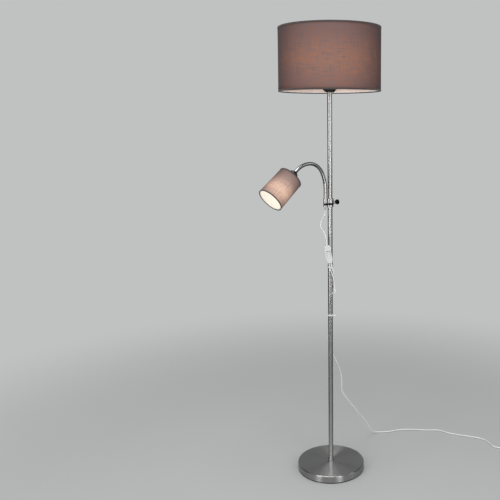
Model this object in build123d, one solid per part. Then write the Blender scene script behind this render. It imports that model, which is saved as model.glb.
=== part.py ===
from build123d import *
import math
import os

# Torchiere floor lamp with a reading light on a gooseneck. Millimetres, +Z up along the pole,
# origin at the centre of the foot pad's underside, -Y towards the front.

# ---------------------------------------------------------------- overall sizes
TOTAL_HEIGHT = 1500.0
FIT = 0.05                 # radial gap of pushed, screwed and sliding fits
GAP = 0.3                  # gap between faces that pass each other

# ---------------------------------------------------------------- base and pole
BASE_RADIUS = 114.0
COVER_HEIGHT = 22.0
COVER_WALL = 1.5
COVER_EDGE_RADIUS = 3.5
PAD_INSET = 1.5            # of the foot pad's edge inside the cover's
PAD_THICKNESS = 3.5
NUT_RECESS_RADIUS = 18.0
NUT_RECESS_DEPTH = 10.0
NUT_ACROSS_FLATS = 17.0
NUT_HEIGHT = 6.0
WASHER_RADIUS = 15.0
WASHER_THICKNESS = 1.5
NIPPLE_RADIUS = 5.0
NIPPLE_BORE = 3.5
NIPPLE_REACH = 18.0        # above the cover
COLLAR_RADIUS = 9.4
COLLAR_HEIGHT = 12.5
SPIGOT_LENGTH = 18.0
POLE_RADIUS = 8.0
POLE_WALL = 1.0
POLE_SECTIONS = 3
POLE_EDGE = 0.4
COUPLER_LENGTH = 50.0
COUPLER_BORE = 4.0

# ---------------------------------------------------------------- main lampholder and bulb
CAP_RADIUS = 20.0
CAP_HEIGHT = 8.0
CAP_WALL = 1.8
BUSH_FLANGE = 2.0
STUB_LENGTH = 7.0
SLEEVE_RADIUS = 19.7
SLEEVE_WALL = 1.6
SLEEVE_HEIGHT = 42.0
FLANGE_RADIUS = 23.0
FLANGE_THICKNESS = 2.0
RING_NUT_RADIUS = 25.0
RING_NUT_HEIGHT = 8.0
RING_NUT_NOTCHES = 24
INSERT_HEIGHT = 12.0
SCREW_SHELL_RADIUS = 14.2
SCREW_SHELL_HEIGHT = 22.0
BULB_CAP_RADIUS = 13.2
BULB_CAP_HEIGHT = 24.0
BULB_RADIUS = 30.0
BULB_WALL = 1.0
BULB_HEIGHT = 84.0         # glass, above its metal cap

# ---------------------------------------------------------------- main shade
SHADE_RADIUS = 168.0
SHADE_HEIGHT = 205.0
FABRIC_THICKNESS = 0.8
LINER_THICKNESS = 0.6
BINDING_WIDTH = 5.5
BINDING_THICKNESS = 0.5
SHADE_WIRE_RADIUS = 1.75
SHADE_RING_INSET = 4.5     # ring centres, from the shade's edges
HOLDER_ABOVE_EDGE = 8.0    # carrier's centre ring, above the shade's lower edge
ARM_ANGLES = (205.0, 325.0, 85.0)
CENTRE_RING_WIDTH = 5.0
CENTRE_RING_THICKNESS = 2.0

# ---------------------------------------------------------------- clamp and gooseneck
ARM_ANGLE = 40.0           # the arm's swing from -X towards the front
CLAMP_Z = 930.0
CLAMP_HEIGHT = 26.0
CLAMP_RADIUS = 11.8
CLAMP_WEB = 11.0
CLAMP_WEB_HEIGHT = 9.0
CLAMP_WEB_LIFT = 1.5       # above the clamp's lower face
LINER_WALL = 1.4
LINER_LIP = 1.6
LINER_LIP_HEIGHT = 1.4
FERRULE_OFFSET = 19.7      # gooseneck axis from the pole's axis
FERRULE_RADIUS = 7.0
FERRULE_ABOVE = 3.0        # past the clamp's top face
SCREW_RADIUS = 2.4
KNOB_BOSS_REACH = 17.0
KNOB_START = 20.5
KNOB_LENGTH = 14.0
KNOB_RADIUS = 8.8
KNOB_NECK_RADIUS = 4.6
KNOB_LOBES = 8
RELIEF_LENGTH = 9.0
NECK_RADIUS = 5.75
NECK_BORE = 2.4
NECK_STRAIGHT = 42.0       # clamp centre to the lowest hinge
NECK_RISE_RADIUS = 130.0
NECK_RISE_TURN = 27.2
NECK_CROWN_RADIUS = 58.0
NECK_FALL_RADIUS = 80.0
HEAD_DIP = 40.0            # reading head's axis below the horizontal
NECK_END = 33.0            # last straight length, to the plane of the reading shade's top
CROWN_HINGE_TURN = 32.0    # where the crown hinge lies, turned from the crown's top
TIP_HINGE_TURN = 22.0
HINGE_LIMIT = 42.0         # furthest bend of one hinge
BALL_RADIUS = 5.6

# ---------------------------------------------------------------- reading head
READ_TOP_RADIUS = 41.7
READ_OPEN_RADIUS = 44.3
READ_HEIGHT = 105.0
READ_BINDING_WIDTH = 3.6
READ_WIRE_RADIUS = 1.25
READ_CAP_TOP = 24.0
READ_CAP_SHOULDER = 5.0    # height of the cap's slope
READ_CAP_RADIUS = 14.0
READ_CAP_NECK = 8.0
READ_SLEEVE_RADIUS = 13.8
READ_SLEEVE_LENGTH = 32.0
READ_FLANGE_RADIUS = 16.5
READ_NUT_RADIUS = 17.5
READ_NUT_HEIGHT = 7.0
READ_NUT_NOTCHES = 18
READ_BULB_CAP_RADIUS = 6.9
READ_BULB_CAP_LENGTH = 19.0
READ_BULB_RADIUS = 22.5
READ_BULB_LENGTH = 51.0

# ---------------------------------------------------------------- switch on the lead
SWITCH_CENTRE = (-5.85, -18.5, 759.5)
SWITCH_LEAN = -9.4
SWITCH_LENGTH = 60.0
SWITCH_WIDTH = 21.0
SWITCH_END_WIDTH = 15.0
SWITCH_SHOULDER = 19.0     # where the taper to the ends starts
SWITCH_DEPTH = 17.0
SWITCH_WALL = 1.6
SWITCH_CORNER = 3.0
SWITCH_EDGE = 2.0
ROCKER_LENGTH = 21.0
ROCKER_WIDTH = 11.5
ROCKER_TILT = 8.0
ROCKER_PIVOT_DEPTH = 5.2   # pin, below the front face
ROCKER_PROUD = 1.6
ROCKER_PIN_RADIUS = 1.2
ROCKER_LUG = 1.4
ROCKER_GAP = 1.2
SWITCH_SCREW_OFFSET = 21.0
SWITCH_SCREW_RADIUS = 1.3
SWITCH_SCREW_HEAD = 2.6
SWITCH_BOSS_RADIUS = 3.2
PORT_OFFSET = 3.2
PORT_DEPTH = 2.5           # how far a cord reaches into the housing

# ---------------------------------------------------------------- cords
MAINS_RADIUS = 2.5
LEAD_RADIUS = 2.0
CORD_PORT_GAP = 0.1
ROUTE_SHARE = 0.45         # an arc's share of the shorter run beside it
TIE_HEIGHT = 4.8
TIE_THICKNESS = 1.3
TIE_HEIGHTS = (715.0, 546.0)
GROMMET_Z = 622.0
GROMMET_ANGLE = -20.0
GROMMET_RADIUS = 3.6
GROMMET_FLANGE = 5.0
GROMMET_REACH = 9.8
COIL_CENTRE = (668.0, 92.0)
COIL_OUTER = 33.5          # radius of the outer turn's centreline
COIL_STEP = 5.8            # from turn to turn, and from layer to layer
COIL_TURNS_IN = 2.0
COIL_TURNS_OUT = 1.75
COIL_DIP = 0.9             # how much the inner half turn is drawn in
COIL_TIE_THICKNESS = 0.4
COIL_TIE_WIDTH = 6.0
PLUG_WIDTH = 34.0
PLUG_LENGTH = 36.0
PLUG_THICKNESS = 14.0
PIN_RADIUS = 2.0
PIN_LENGTH = 19.0
PIN_SPACING = 19.0
PLUG_RELIEF = 18.0

# ---------------------------------------------------------------- heights that follow
COVER_TOP = PAD_THICKNESS + COVER_HEIGHT
POLE_BOTTOM = COVER_TOP + COLLAR_HEIGHT
SHADE_BOTTOM = TOTAL_HEIGHT - SHADE_HEIGHT
CARRIER_Z = SHADE_BOTTOM + HOLDER_ABOVE_EDGE
FLANGE_Z = CARRIER_Z - FLANGE_THICKNESS
CAP_Z = FLANGE_Z - CAP_HEIGHT
POLE_TOP = CAP_Z - BUSH_FLANGE
POLE_LENGTH = (POLE_TOP - POLE_BOTTOM) / POLE_SECTIONS
POLE_BORE = POLE_RADIUS - POLE_WALL
SPIGOT_RADIUS = POLE_BORE - FIT
CLAMP_BOTTOM = CLAMP_Z - CLAMP_HEIGHT / 2
CLAMP_TOP = CLAMP_Z + CLAMP_HEIGHT / 2
LINER_RADIUS = POLE_RADIUS + FIT + LINER_WALL
GLASS_Z = CARRIER_Z + INSERT_HEIGHT + BULB_CAP_HEIGHT
CORD_FLOOR = MAINS_RADIUS + COIL_TIE_THICKNESS + GAP


# ---------------------------------------------------------------- helpers
def keep(name, *solids):
    """Writes one node from one solid, or from a group of separate solids."""
    shape = solids[0] if len(solids) == 1 else Compound(children=list(solids))
    export_step(shape, f"parts/{name}.step")


def tube(radius, bore, low, high):
    """An upright tube on the Z axis."""
    wall = Circle(radius) - Circle(bore)
    return Pos(0, 0, low) * extrude(wall, high - low)


def rod(radius, low, high):
    """An upright rod on the Z axis."""
    return Pos(0, 0, low) * extrude(Circle(radius), high - low)


def turned(*points):
    """A solid turned about the Z axis from its half outline of (radius, height) points."""
    outline = Polyline(*[(r, 0, z) for r, z in points], close=True)
    return revolve(make_face(outline), Axis.Z)


def rim_edges(solid, radius, height):
    """The circular edges of a turned solid at one radius and height."""
    near = solid.edges().filter_by(GeomType.CIRCLE)
    return near.filter_by(lambda e: abs(e.radius - radius) < 0.01 and abs(e.center().Z - height) < 0.01)


def bar(start, end, radius):
    """A straight round bar between two points."""
    run = Vector(*end) - Vector(*start)
    return Plane(origin=start, z_dir=run) * extrude(Circle(radius), run.length)


def wire_ring(radius, wire_radius, height):
    """A closed ring of round wire."""
    return Pos(0, 0, height) * Torus(radius, wire_radius)


# ---------------------------------------------------------------- base
def base_cover():
    outer = rod(BASE_RADIUS, PAD_THICKNESS, COVER_TOP)
    outer = fillet(rim_edges(outer, BASE_RADIUS, COVER_TOP), COVER_EDGE_RADIUS)
    inner_top = COVER_TOP - COVER_WALL
    inner_radius = BASE_RADIUS - COVER_WALL
    inner = rod(inner_radius, PAD_THICKNESS, inner_top)
    inner = fillet(rim_edges(inner, inner_radius, inner_top), COVER_EDGE_RADIUS - COVER_WALL)
    return outer - inner - rod(NIPPLE_RADIUS + FIT, 0, COVER_TOP + 1)


def base_weight():
    radius = BASE_RADIUS - COVER_WALL - GAP
    top = COVER_TOP - COVER_WALL
    weight = rod(radius, PAD_THICKNESS, top)
    weight = fillet(rim_edges(weight, radius, top), COVER_EDGE_RADIUS - COVER_WALL)
    recess = rod(NUT_RECESS_RADIUS, PAD_THICKNESS, PAD_THICKNESS + NUT_RECESS_DEPTH)
    return weight - recess - rod(NIPPLE_RADIUS + FIT, 0, COVER_TOP)


def base_nut(low):
    hexagon = RegularPolygon(NUT_ACROSS_FLATS / 2, 6, major_radius=False)
    nut = Pos(0, 0, low) * extrude(hexagon - Circle(NIPPLE_RADIUS + FIT), NUT_HEIGHT)
    crown = turned((0, low), (NUT_ACROSS_FLATS / 2, low), (NUT_ACROSS_FLATS / 2 + 1.2, low + 0.8),
                   (NUT_ACROSS_FLATS / 2 + 1.2, low + NUT_HEIGHT), (0, low + NUT_HEIGHT))
    return nut & crown


def foot_collar():
    bore_end = COVER_TOP + NIPPLE_REACH + 1
    top = POLE_BOTTOM + SPIGOT_LENGTH
    body = rod(COLLAR_RADIUS, COVER_TOP, POLE_BOTTOM)
    body = fillet(rim_edges(body, COLLAR_RADIUS, POLE_BOTTOM), 1.0)
    body = body + rod(SPIGOT_RADIUS, POLE_BOTTOM, top)
    return body - rod(NIPPLE_RADIUS + FIT, COVER_TOP, bore_end) - rod(COUPLER_BORE, bore_end, top)


def build_base():
    keep("base_pad", rod(BASE_RADIUS - PAD_INSET, 0, PAD_THICKNESS))
    keep("base_cover", base_cover())
    keep("base_weight", base_weight())
    washer_low = PAD_THICKNESS + NUT_RECESS_DEPTH - WASHER_THICKNESS
    keep("base_washer", tube(WASHER_RADIUS, NIPPLE_RADIUS + FIT, washer_low, washer_low + WASHER_THICKNESS))
    nut_low = washer_low - NUT_HEIGHT
    keep("base_nut", base_nut(nut_low))
    keep("base_nipple", tube(NIPPLE_RADIUS, NIPPLE_BORE, nut_low - 1, COVER_TOP + NIPPLE_REACH))
    keep("pole_foot_collar", foot_collar())


# ---------------------------------------------------------------- pole
def grommet_place():
    """The grommet's own frame: Z points out of the pole."""
    angle = math.radians(GROMMET_ANGLE)
    return Plane(origin=(0, 0, GROMMET_Z), z_dir=(math.cos(angle), math.sin(angle), 0))


def pole_section(index):
    low = POLE_BOTTOM + index * POLE_LENGTH
    high = low + POLE_LENGTH
    section = tube(POLE_RADIUS, POLE_BORE, low, high)
    ends = rim_edges(section, POLE_RADIUS, low) + rim_edges(section, POLE_RADIUS, high)
    section = chamfer(ends, POLE_EDGE)
    if low < GROMMET_Z < high:
        section = section - grommet_place() * extrude(Circle(GROMMET_RADIUS + FIT), POLE_RADIUS + 1)
    return section


def couplers():
    joints = [POLE_BOTTOM + i * POLE_LENGTH for i in range(1, POLE_SECTIONS)]
    half = COUPLER_LENGTH / 2
    return [tube(SPIGOT_RADIUS, COUPLER_BORE, z - half, z + half) for z in joints]


def top_bush():
    stub_top = CAP_Z + STUB_LENGTH
    body = rod(SPIGOT_RADIUS, POLE_TOP - SPIGOT_LENGTH, POLE_TOP)
    body = body + rod(POLE_RADIUS, POLE_TOP, CAP_Z) + rod(NIPPLE_RADIUS, CAP_Z, stub_top)
    return body - rod(NIPPLE_BORE, POLE_TOP - SPIGOT_LENGTH, stub_top)


def grommet():
    flange = extrude(Circle(GROMMET_FLANGE), GROMMET_REACH) - extrude(Circle(GROMMET_RADIUS), POLE_RADIUS)
    body = extrude(Circle(GROMMET_RADIUS), GROMMET_REACH) - extrude(Circle(GROMMET_FLANGE), POLE_BORE - 1)
    both = grommet_place() * (flange + body - extrude(Circle(LEAD_RADIUS + CORD_PORT_GAP), GROMMET_REACH))
    skirt = rod(POLE_RADIUS, GROMMET_Z - 10, GROMMET_Z + 10)
    stem = grommet_place() * extrude(Circle(GROMMET_RADIUS), POLE_RADIUS + 1)
    return both - (skirt - stem)


def feed_wire():
    """The wire from the grommet up the pole to the lampholder."""
    inner = POLE_BORE - 1.5
    angle = math.radians(GROMMET_ANGLE)
    start = (inner * math.cos(angle), inner * math.sin(angle), GROMMET_Z)
    path = FilletPolyline(start, (0, 0, GROMMET_Z), (0, 0, CAP_Z + STUB_LENGTH), radius=inner - 0.5)
    return sweep(Plane(origin=start, z_dir=path % 0) * Circle(LEAD_RADIUS), path)


def build_pole():
    for index, name in enumerate(("pole_lower", "pole_middle", "pole_upper")):
        keep(name, pole_section(index))
    keep("pole_couplers", *couplers())
    keep("pole_top_bush", top_bush())
    keep("pole_grommet", grommet())
    keep("pole_feed_wire", feed_wire())


# ---------------------------------------------------------------- lampholders
def ring_nut(radius, bore, low, high, notches):
    """A ring nut with a notched grip."""
    nut = tube(radius, bore, low, high)
    nut = chamfer(rim_edges(nut, radius, low) + rim_edges(nut, radius, high), 0.8)
    notch = Pos(radius + 0.7, 0, low) * extrude(Circle(1.5), high - low)
    for place in PolarLocations(0, notches):
        nut = nut - place * notch
    return nut


def holder_cap():
    low, high = CAP_Z, FLANGE_Z
    thread = NIPPLE_RADIUS + FIT
    return turned((thread, low), (13, low), (CAP_RADIUS - 1, low + 4), (CAP_RADIUS, low + 6), (CAP_RADIUS, high),
                  (CAP_RADIUS - CAP_WALL, high), (CAP_RADIUS - CAP_WALL, low + 6), (12, low + CAP_WALL),
                  (8, low + CAP_WALL), (8, high - 1), (thread, high - 1))


def holder_sleeve():
    low = CARRIER_Z
    flange = tube(FLANGE_RADIUS, SLEEVE_RADIUS - SLEEVE_WALL, FLANGE_Z, low)
    return flange + tube(SLEEVE_RADIUS, SLEEVE_RADIUS - SLEEVE_WALL, low, low + SLEEVE_HEIGHT)


def holder_insert():
    radius = SLEEVE_RADIUS - SLEEVE_WALL - FIT
    body = rod(radius, CARRIER_Z, CARRIER_Z + INSERT_HEIGHT - 2)
    body = body + tube(radius, SCREW_SHELL_RADIUS + FIT, CARRIER_Z + INSERT_HEIGHT - 2, CARRIER_Z + INSERT_HEIGHT + 8)
    tongue = Pos(0, 0, CARRIER_Z + INSERT_HEIGHT - 2) * extrude(Rectangle(12, 5), 1.2)
    wireways = [Pos(x, 0, CARRIER_Z) * extrude(Circle(1.6), INSERT_HEIGHT - 2) for x in (-9, 9)]
    return body + tongue - wireways[0] - wireways[1]


def bulb_form(neck, radius, length):
    """A bulb's form, neck down at z = 0 and crown at z = length."""
    centre = length - radius
    belt = math.radians(-32)
    touch = (radius * math.cos(belt), 0, centre + radius * math.sin(belt))
    shoulder = Spline((neck, 0, 4), touch, tangents=((0, 0, 1), (-math.sin(belt), 0, math.cos(belt))))
    crown = ThreePointArc(touch, (radius * math.cos(0.7), 0, centre + radius * math.sin(0.7)), (0, 0, length))
    outline = Polyline((0, 0, length), (0, 0, 0), (neck, 0, 0), (neck, 0, 4)) + shoulder + crown
    return revolve(make_face(outline), Axis.Z)


def bulb_glass(cap_radius, radius, length):
    """A bulb's thin envelope, open at its neck, where the cap closes it."""
    outer = bulb_form(cap_radius - 0.2, radius, length)
    return outer - bulb_form(cap_radius - 0.2 - BULB_WALL, radius - BULB_WALL, length - BULB_WALL)


def bulb_cap(radius, length):
    """A bulb's screw cap: contact button down at z = 0, rim at z = length."""
    ridges = 4
    pitch = (length - 7) / ridges
    outline = [(0, 0), (2.2, 0), (2.2, 0.8), (radius * 0.62, 2.4), (radius * 0.94, 4)]
    for i in range(ridges):
        outline += [(radius * 0.94, 4 + i * pitch), (radius, 4 + (i + 0.5) * pitch)]
    outline += [(radius * 0.94, length - 3), (radius, length - 2), (radius, length), (0, length)]
    return turned(*outline[:5], *outline[6:])


def build_holder():
    keep("holder_cap", holder_cap())
    keep("holder_sleeve", holder_sleeve())
    keep("holder_insert", holder_insert())
    nut_low = CARRIER_Z + CENTRE_RING_THICKNESS
    keep("holder_ring_nut", ring_nut(RING_NUT_RADIUS, SLEEVE_RADIUS + FIT, nut_low, nut_low + RING_NUT_HEIGHT,
                                     RING_NUT_NOTCHES))
    shell_low = CARRIER_Z + INSERT_HEIGHT - 2
    keep("holder_screw_shell", tube(SCREW_SHELL_RADIUS, BULB_CAP_RADIUS + 0.2, shell_low,
                                    shell_low + SCREW_SHELL_HEIGHT))
    cap_low = shell_low + 1.2
    keep("bulb_cap", Pos(0, 0, cap_low) * bulb_cap(BULB_CAP_RADIUS, BULB_CAP_HEIGHT))
    keep("bulb_glass", Pos(0, 0, cap_low + BULB_CAP_HEIGHT) * bulb_glass(BULB_CAP_RADIUS, BULB_RADIUS, BULB_HEIGHT))


# ---------------------------------------------------------------- shades
# A shade is modelled upright: its lower edge at z = 0 and its upper edge at z = height.
def shade_skin(low_radius, high_radius, height, thickness, inset):
    """One layer of a shade's wall, of which the outer radii are given."""
    slope = (high_radius - low_radius) / height
    low_r = low_radius + slope * inset
    high_r = high_radius - slope * inset
    return turned((low_r - thickness, inset), (low_r, inset), (high_r, height - inset),
                  (high_r - thickness, height - inset))


def binding(low_radius, high_radius, height, width, at_top):
    """The folded strip over one edge of a shade, outside and inside of its wall."""
    wall = FABRIC_THICKNESS + LINER_THICKNESS + 0.2
    slope = (high_radius - low_radius) / height
    start, step = (height, -1) if at_top else (0, 1)

    def radius(z):
        return low_radius + slope * z

    outer, lip, fold = BINDING_THICKNESS, wall + BINDING_THICKNESS, start + step * BINDING_THICKNESS
    end = start + step * width
    return turned((radius(start) + outer, start), (radius(end) + outer, end), (radius(end) + 0.05, end),
                  (radius(fold) + 0.05, fold), (radius(fold) - wall, fold), (radius(end) - wall, end),
                  (radius(end) - lip, end), (radius(start) - lip, start))


def shade_walls(low_radius, high_radius, height, width):
    """Fabric, lining and the two bindings of a shade."""
    low, high = low_radius - BINDING_THICKNESS, high_radius - BINDING_THICKNESS
    inset = BINDING_THICKNESS + 0.05
    fabric = shade_skin(low, high, height, FABRIC_THICKNESS, inset)
    back = FABRIC_THICKNESS + 0.05
    liner = shade_skin(low - back, high - back, height, LINER_THICKNESS, inset)
    strips = [binding(low, high, height, width, at_top) for at_top in (False, True)]
    return fabric, liner, strips


def wall_inside(radius):
    """The inner radius of a shade at a binding."""
    return radius - 2 * BINDING_THICKNESS - FABRIC_THICKNESS - LINER_THICKNESS - 0.2


def carrier(centre_bore, centre_z, clear_radius, ring_radius, ring_z, wire_radius):
    """A shade carrier: flat centre ring, three arms and the wire ring that holds the shade."""
    width = CENTRE_RING_WIDTH
    centre = tube(centre_bore + width, centre_bore, centre_z, centre_z + CENTRE_RING_THICKNESS)
    ring = wire_ring(ring_radius, wire_radius, ring_z)
    whole = centre + ring
    root = centre_bore + width * 0.6
    level = centre_z + CENTRE_RING_THICKNESS / 2
    for angle in ARM_ANGLES:
        arm = bar((root, 0, level), (ring_radius, 0, ring_z), wire_radius * 0.95)
        whole = whole + Rot(0, 0, angle) * arm
    top = centre_z + CENTRE_RING_THICKNESS
    seats = rod(clear_radius, centre_z - 9, centre_z) + rod(clear_radius, top, top + 9)
    return whole - seats - rod(centre_bore, centre_z - 9, top + 9)


def build_shade():
    place = Pos(0, 0, SHADE_BOTTOM)
    fabric, liner, strips = shade_walls(SHADE_RADIUS, SHADE_RADIUS, SHADE_HEIGHT, BINDING_WIDTH)
    keep("shade_fabric", place * fabric)
    keep("shade_liner", place * liner)
    keep("shade_bindings", *[place * strip for strip in strips])
    ring_radius = wall_inside(SHADE_RADIUS) - SHADE_WIRE_RADIUS - 0.1
    clear = max(RING_NUT_RADIUS, FLANGE_RADIUS) + GAP
    keep("shade_carrier", carrier(SLEEVE_RADIUS + FIT, CARRIER_Z, clear, ring_radius, SHADE_BOTTOM + SHADE_RING_INSET,
                                  SHADE_WIRE_RADIUS))
    keep("shade_top_ring", wire_ring(ring_radius, SHADE_WIRE_RADIUS, TOTAL_HEIGHT - SHADE_RING_INSET))


# ---------------------------------------------------------------- clamp
# The arm's parts are modelled with the arm towards -X and swung afterwards.
SWING = Rot(0, 0, ARM_ANGLE)


def clamp_liner():
    low, high = CLAMP_BOTTOM - FIT - LINER_LIP_HEIGHT, CLAMP_TOP + FIT + LINER_LIP_HEIGHT
    sleeve = tube(LINER_RADIUS, POLE_RADIUS + FIT, low, high)
    lips = [tube(LINER_RADIUS + LINER_LIP, LINER_RADIUS, z, z + LINER_LIP_HEIGHT) for z in (low, high - LINER_LIP_HEIGHT)]
    return sleeve + lips[0] + lips[1]


def clamp_body():
    boss = rod(CLAMP_RADIUS, CLAMP_BOTTOM, CLAMP_TOP)
    boss = fillet(rim_edges(boss, CLAMP_RADIUS, CLAMP_BOTTOM) + rim_edges(boss, CLAMP_RADIUS, CLAMP_TOP), 1.0)
    top = CLAMP_TOP + FERRULE_ABOVE
    ferrule = rod(FERRULE_RADIUS, CLAMP_BOTTOM, top)
    ferrule = fillet(rim_edges(ferrule, FERRULE_RADIUS, top) + rim_edges(ferrule, FERRULE_RADIUS, CLAMP_BOTTOM), 0.8)
    web_z = CLAMP_BOTTOM + CLAMP_WEB_LIFT + CLAMP_WEB_HEIGHT / 2
    web = Pos(-FERRULE_OFFSET / 2, 0, web_z) * Box(FERRULE_OFFSET, CLAMP_WEB, CLAMP_WEB_HEIGHT)
    knob_boss = bar((LINER_RADIUS + 1, 0, CLAMP_Z), (KNOB_BOSS_REACH, 0, CLAMP_Z), SCREW_RADIUS + 2.6)
    body = boss + Pos(-FERRULE_OFFSET, 0, 0) * ferrule + web + knob_boss
    body = body - rod(LINER_RADIUS + FIT, CLAMP_BOTTOM - 1, CLAMP_TOP + 1)
    body = body - bar((LINER_RADIUS, 0, CLAMP_Z), (KNOB_BOSS_REACH + 1, 0, CLAMP_Z), SCREW_RADIUS + FIT)
    neck_floor = CLAMP_Z + 4
    bores = rod(NECK_RADIUS + FIT, neck_floor, top + 1) + rod(LEAD_RADIUS + 1.2, CLAMP_BOTTOM - 1, neck_floor + 1)
    return body - Pos(-FERRULE_OFFSET, 0, 0) * bores


def clamp_knob():
    """A flared knob, narrow towards the pole, with scooped flutes for the fingers."""
    end = KNOB_START + KNOB_LENGTH
    cone = turned((0, 0), (KNOB_NECK_RADIUS, 0), (KNOB_NECK_RADIUS, 2.5), (KNOB_RADIUS, KNOB_LENGTH - 4),
                  (KNOB_RADIUS, KNOB_LENGTH - 1), (KNOB_RADIUS - 1, KNOB_LENGTH), (0, KNOB_LENGTH))
    flute = Pos(KNOB_RADIUS + 0.9, 0, 3) * extrude(Circle(2.0), KNOB_LENGTH)
    for place in PolarLocations(0, KNOB_LOBES):
        cone = cone - place * flute
    bore = rod(SCREW_RADIUS + FIT, -1, KNOB_LENGTH - 4)
    return Plane(origin=(end - KNOB_LENGTH, 0, CLAMP_Z), z_dir=(1, 0, 0)) * (cone - bore)


def clamp_screw():
    tip = LINER_RADIUS + GAP
    return bar((tip, 0, CLAMP_Z), (KNOB_START + KNOB_LENGTH - 4, 0, CLAMP_Z), SCREW_RADIUS)


def lead_relief():
    """The tapered strain relief of the reading lead, under the gooseneck's ferrule."""
    neck = LEAD_RADIUS + 1.2 - FIT
    low = CLAMP_BOTTOM
    tip = low - RELIEF_LENGTH
    relief = turned((LEAD_RADIUS + CORD_PORT_GAP, tip), (LEAD_RADIUS + 0.9, tip), (LEAD_RADIUS + 2.2, low - 2),
                    (LEAD_RADIUS + 2.2, low), (neck, low), (neck, low + 8), (LEAD_RADIUS + CORD_PORT_GAP, low + 8))
    return Pos(-FERRULE_OFFSET, 0, 0) * relief


def build_clamp():
    keep("clamp_liner", SWING * clamp_liner())
    keep("clamp_body", SWING * clamp_body())
    keep("clamp_knob", SWING * clamp_knob())
    keep("clamp_screw", SWING * clamp_screw())
    keep("lead_strain_relief", SWING * lead_relief())


# ---------------------------------------------------------------- gooseneck
# Its centreline lies in the arm's XZ plane: straight up, three arcs, and a straight end.
HINGE_SPACE = BALL_RADIUS + GAP


def hinge_cut():
    """How far a length of neck stops short of the next hinge, so that the bend clears it."""
    rim = math.degrees(math.atan2(NECK_RADIUS, math.sqrt(HINGE_SPACE ** 2 - NECK_RADIUS ** 2)))
    return HINGE_SPACE * math.cos(math.radians(180 - rim - HINGE_LIMIT)) + GAP


def on_arc(centre, radius, turn):
    """The point of an arc in the arm's plane, at an angle turned back from +X."""
    angle = math.radians(turn)
    return Vector(centre.X + radius * math.cos(angle), 0, centre.Z + radius * math.sin(angle))


ROOT_HINGE = Vector(-FERRULE_OFFSET, 0, CLAMP_Z + NECK_STRAIGHT)
RISE_CENTRE = ROOT_HINGE - Vector(NECK_RISE_RADIUS, 0, 0)
RISE_END = on_arc(RISE_CENTRE, NECK_RISE_RADIUS, NECK_RISE_TURN)
CROWN_CENTRE = RISE_END - (on_arc(Vector(0, 0, 0), NECK_CROWN_RADIUS, NECK_RISE_TURN))
CROWN_TOP = on_arc(CROWN_CENTRE, NECK_CROWN_RADIUS, 90)
FALL_CENTRE = CROWN_TOP - Vector(0, 0, NECK_FALL_RADIUS)
FALL_END = on_arc(FALL_CENTRE, NECK_FALL_RADIUS, 90 + HEAD_DIP)
CROWN_HINGE = on_arc(CROWN_CENTRE, NECK_CROWN_RADIUS, 90 - CROWN_HINGE_TURN)
TIP_HINGE = on_arc(FALL_CENTRE, NECK_FALL_RADIUS, 90 + TIP_HINGE_TURN)
HEAD_AXIS = Vector(-math.cos(math.radians(HEAD_DIP)), 0, -math.sin(math.radians(HEAD_DIP)))
HEAD_ORIGIN = FALL_END + HEAD_AXIS * NECK_END
READ_NECK_SEAT = READ_CAP_TOP - 9    # where the neck stops inside the reading head's cap


def arc_run(centre, radius, start, end):
    """An arc of the centreline between two turns."""
    return ThreePointArc(on_arc(centre, radius, start), on_arc(centre, radius, (start + end) / 2),
                         on_arc(centre, radius, end))


def neck_run(path, ball=None, socket=None):
    """A length of neck, with a ball at its far hinge and a hollow at its near one."""
    section = Plane(origin=path @ 0, z_dir=path % 0) * Circle(NECK_RADIUS)
    body = sweep(section, path)
    if socket:
        body = body - Pos(*socket) * Sphere(HINGE_SPACE)
    if ball:
        end = path @ 1
        neck = bar(tuple(end), tuple(ball), BALL_RADIUS * 0.7)
        body = body + neck + Pos(*ball) * Sphere(BALL_RADIUS)
    return body


def build_neck():
    cut = hinge_cut()

    def angle_cut(radius):
        return math.degrees(cut / radius)

    foot = Vector(-FERRULE_OFFSET, 0, CLAMP_Z + 4)
    root = neck_run(Line(foot, ROOT_HINGE - Vector(0, 0, cut)), ball=ROOT_HINGE)
    lower_end = 90 - CROWN_HINGE_TURN - angle_cut(NECK_CROWN_RADIUS)
    lower_path = arc_run(RISE_CENTRE, NECK_RISE_RADIUS, 0, NECK_RISE_TURN) + arc_run(
        CROWN_CENTRE, NECK_CROWN_RADIUS, NECK_RISE_TURN, lower_end)
    lower = neck_run(lower_path, ball=CROWN_HINGE, socket=ROOT_HINGE)
    upper_end = 90 + TIP_HINGE_TURN - angle_cut(NECK_FALL_RADIUS)
    upper_path = arc_run(CROWN_CENTRE, NECK_CROWN_RADIUS, 90 - CROWN_HINGE_TURN, 90) + arc_run(
        FALL_CENTRE, NECK_FALL_RADIUS, 90, upper_end)
    upper = neck_run(upper_path, ball=TIP_HINGE, socket=CROWN_HINGE)
    seat = HEAD_ORIGIN - HEAD_AXIS * READ_NECK_SEAT
    tip_path = arc_run(FALL_CENTRE, NECK_FALL_RADIUS, 90 + TIP_HINGE_TURN, 90 + HEAD_DIP) + Line(FALL_END, seat)
    tip = neck_run(tip_path, socket=TIP_HINGE)
    bore = neck_bore(foot, seat)
    for name, piece in (("neck_root", root), ("neck_lower", lower), ("neck_upper", upper), ("neck_tip", tip)):
        keep(name, SWING * (piece - bore))


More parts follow.
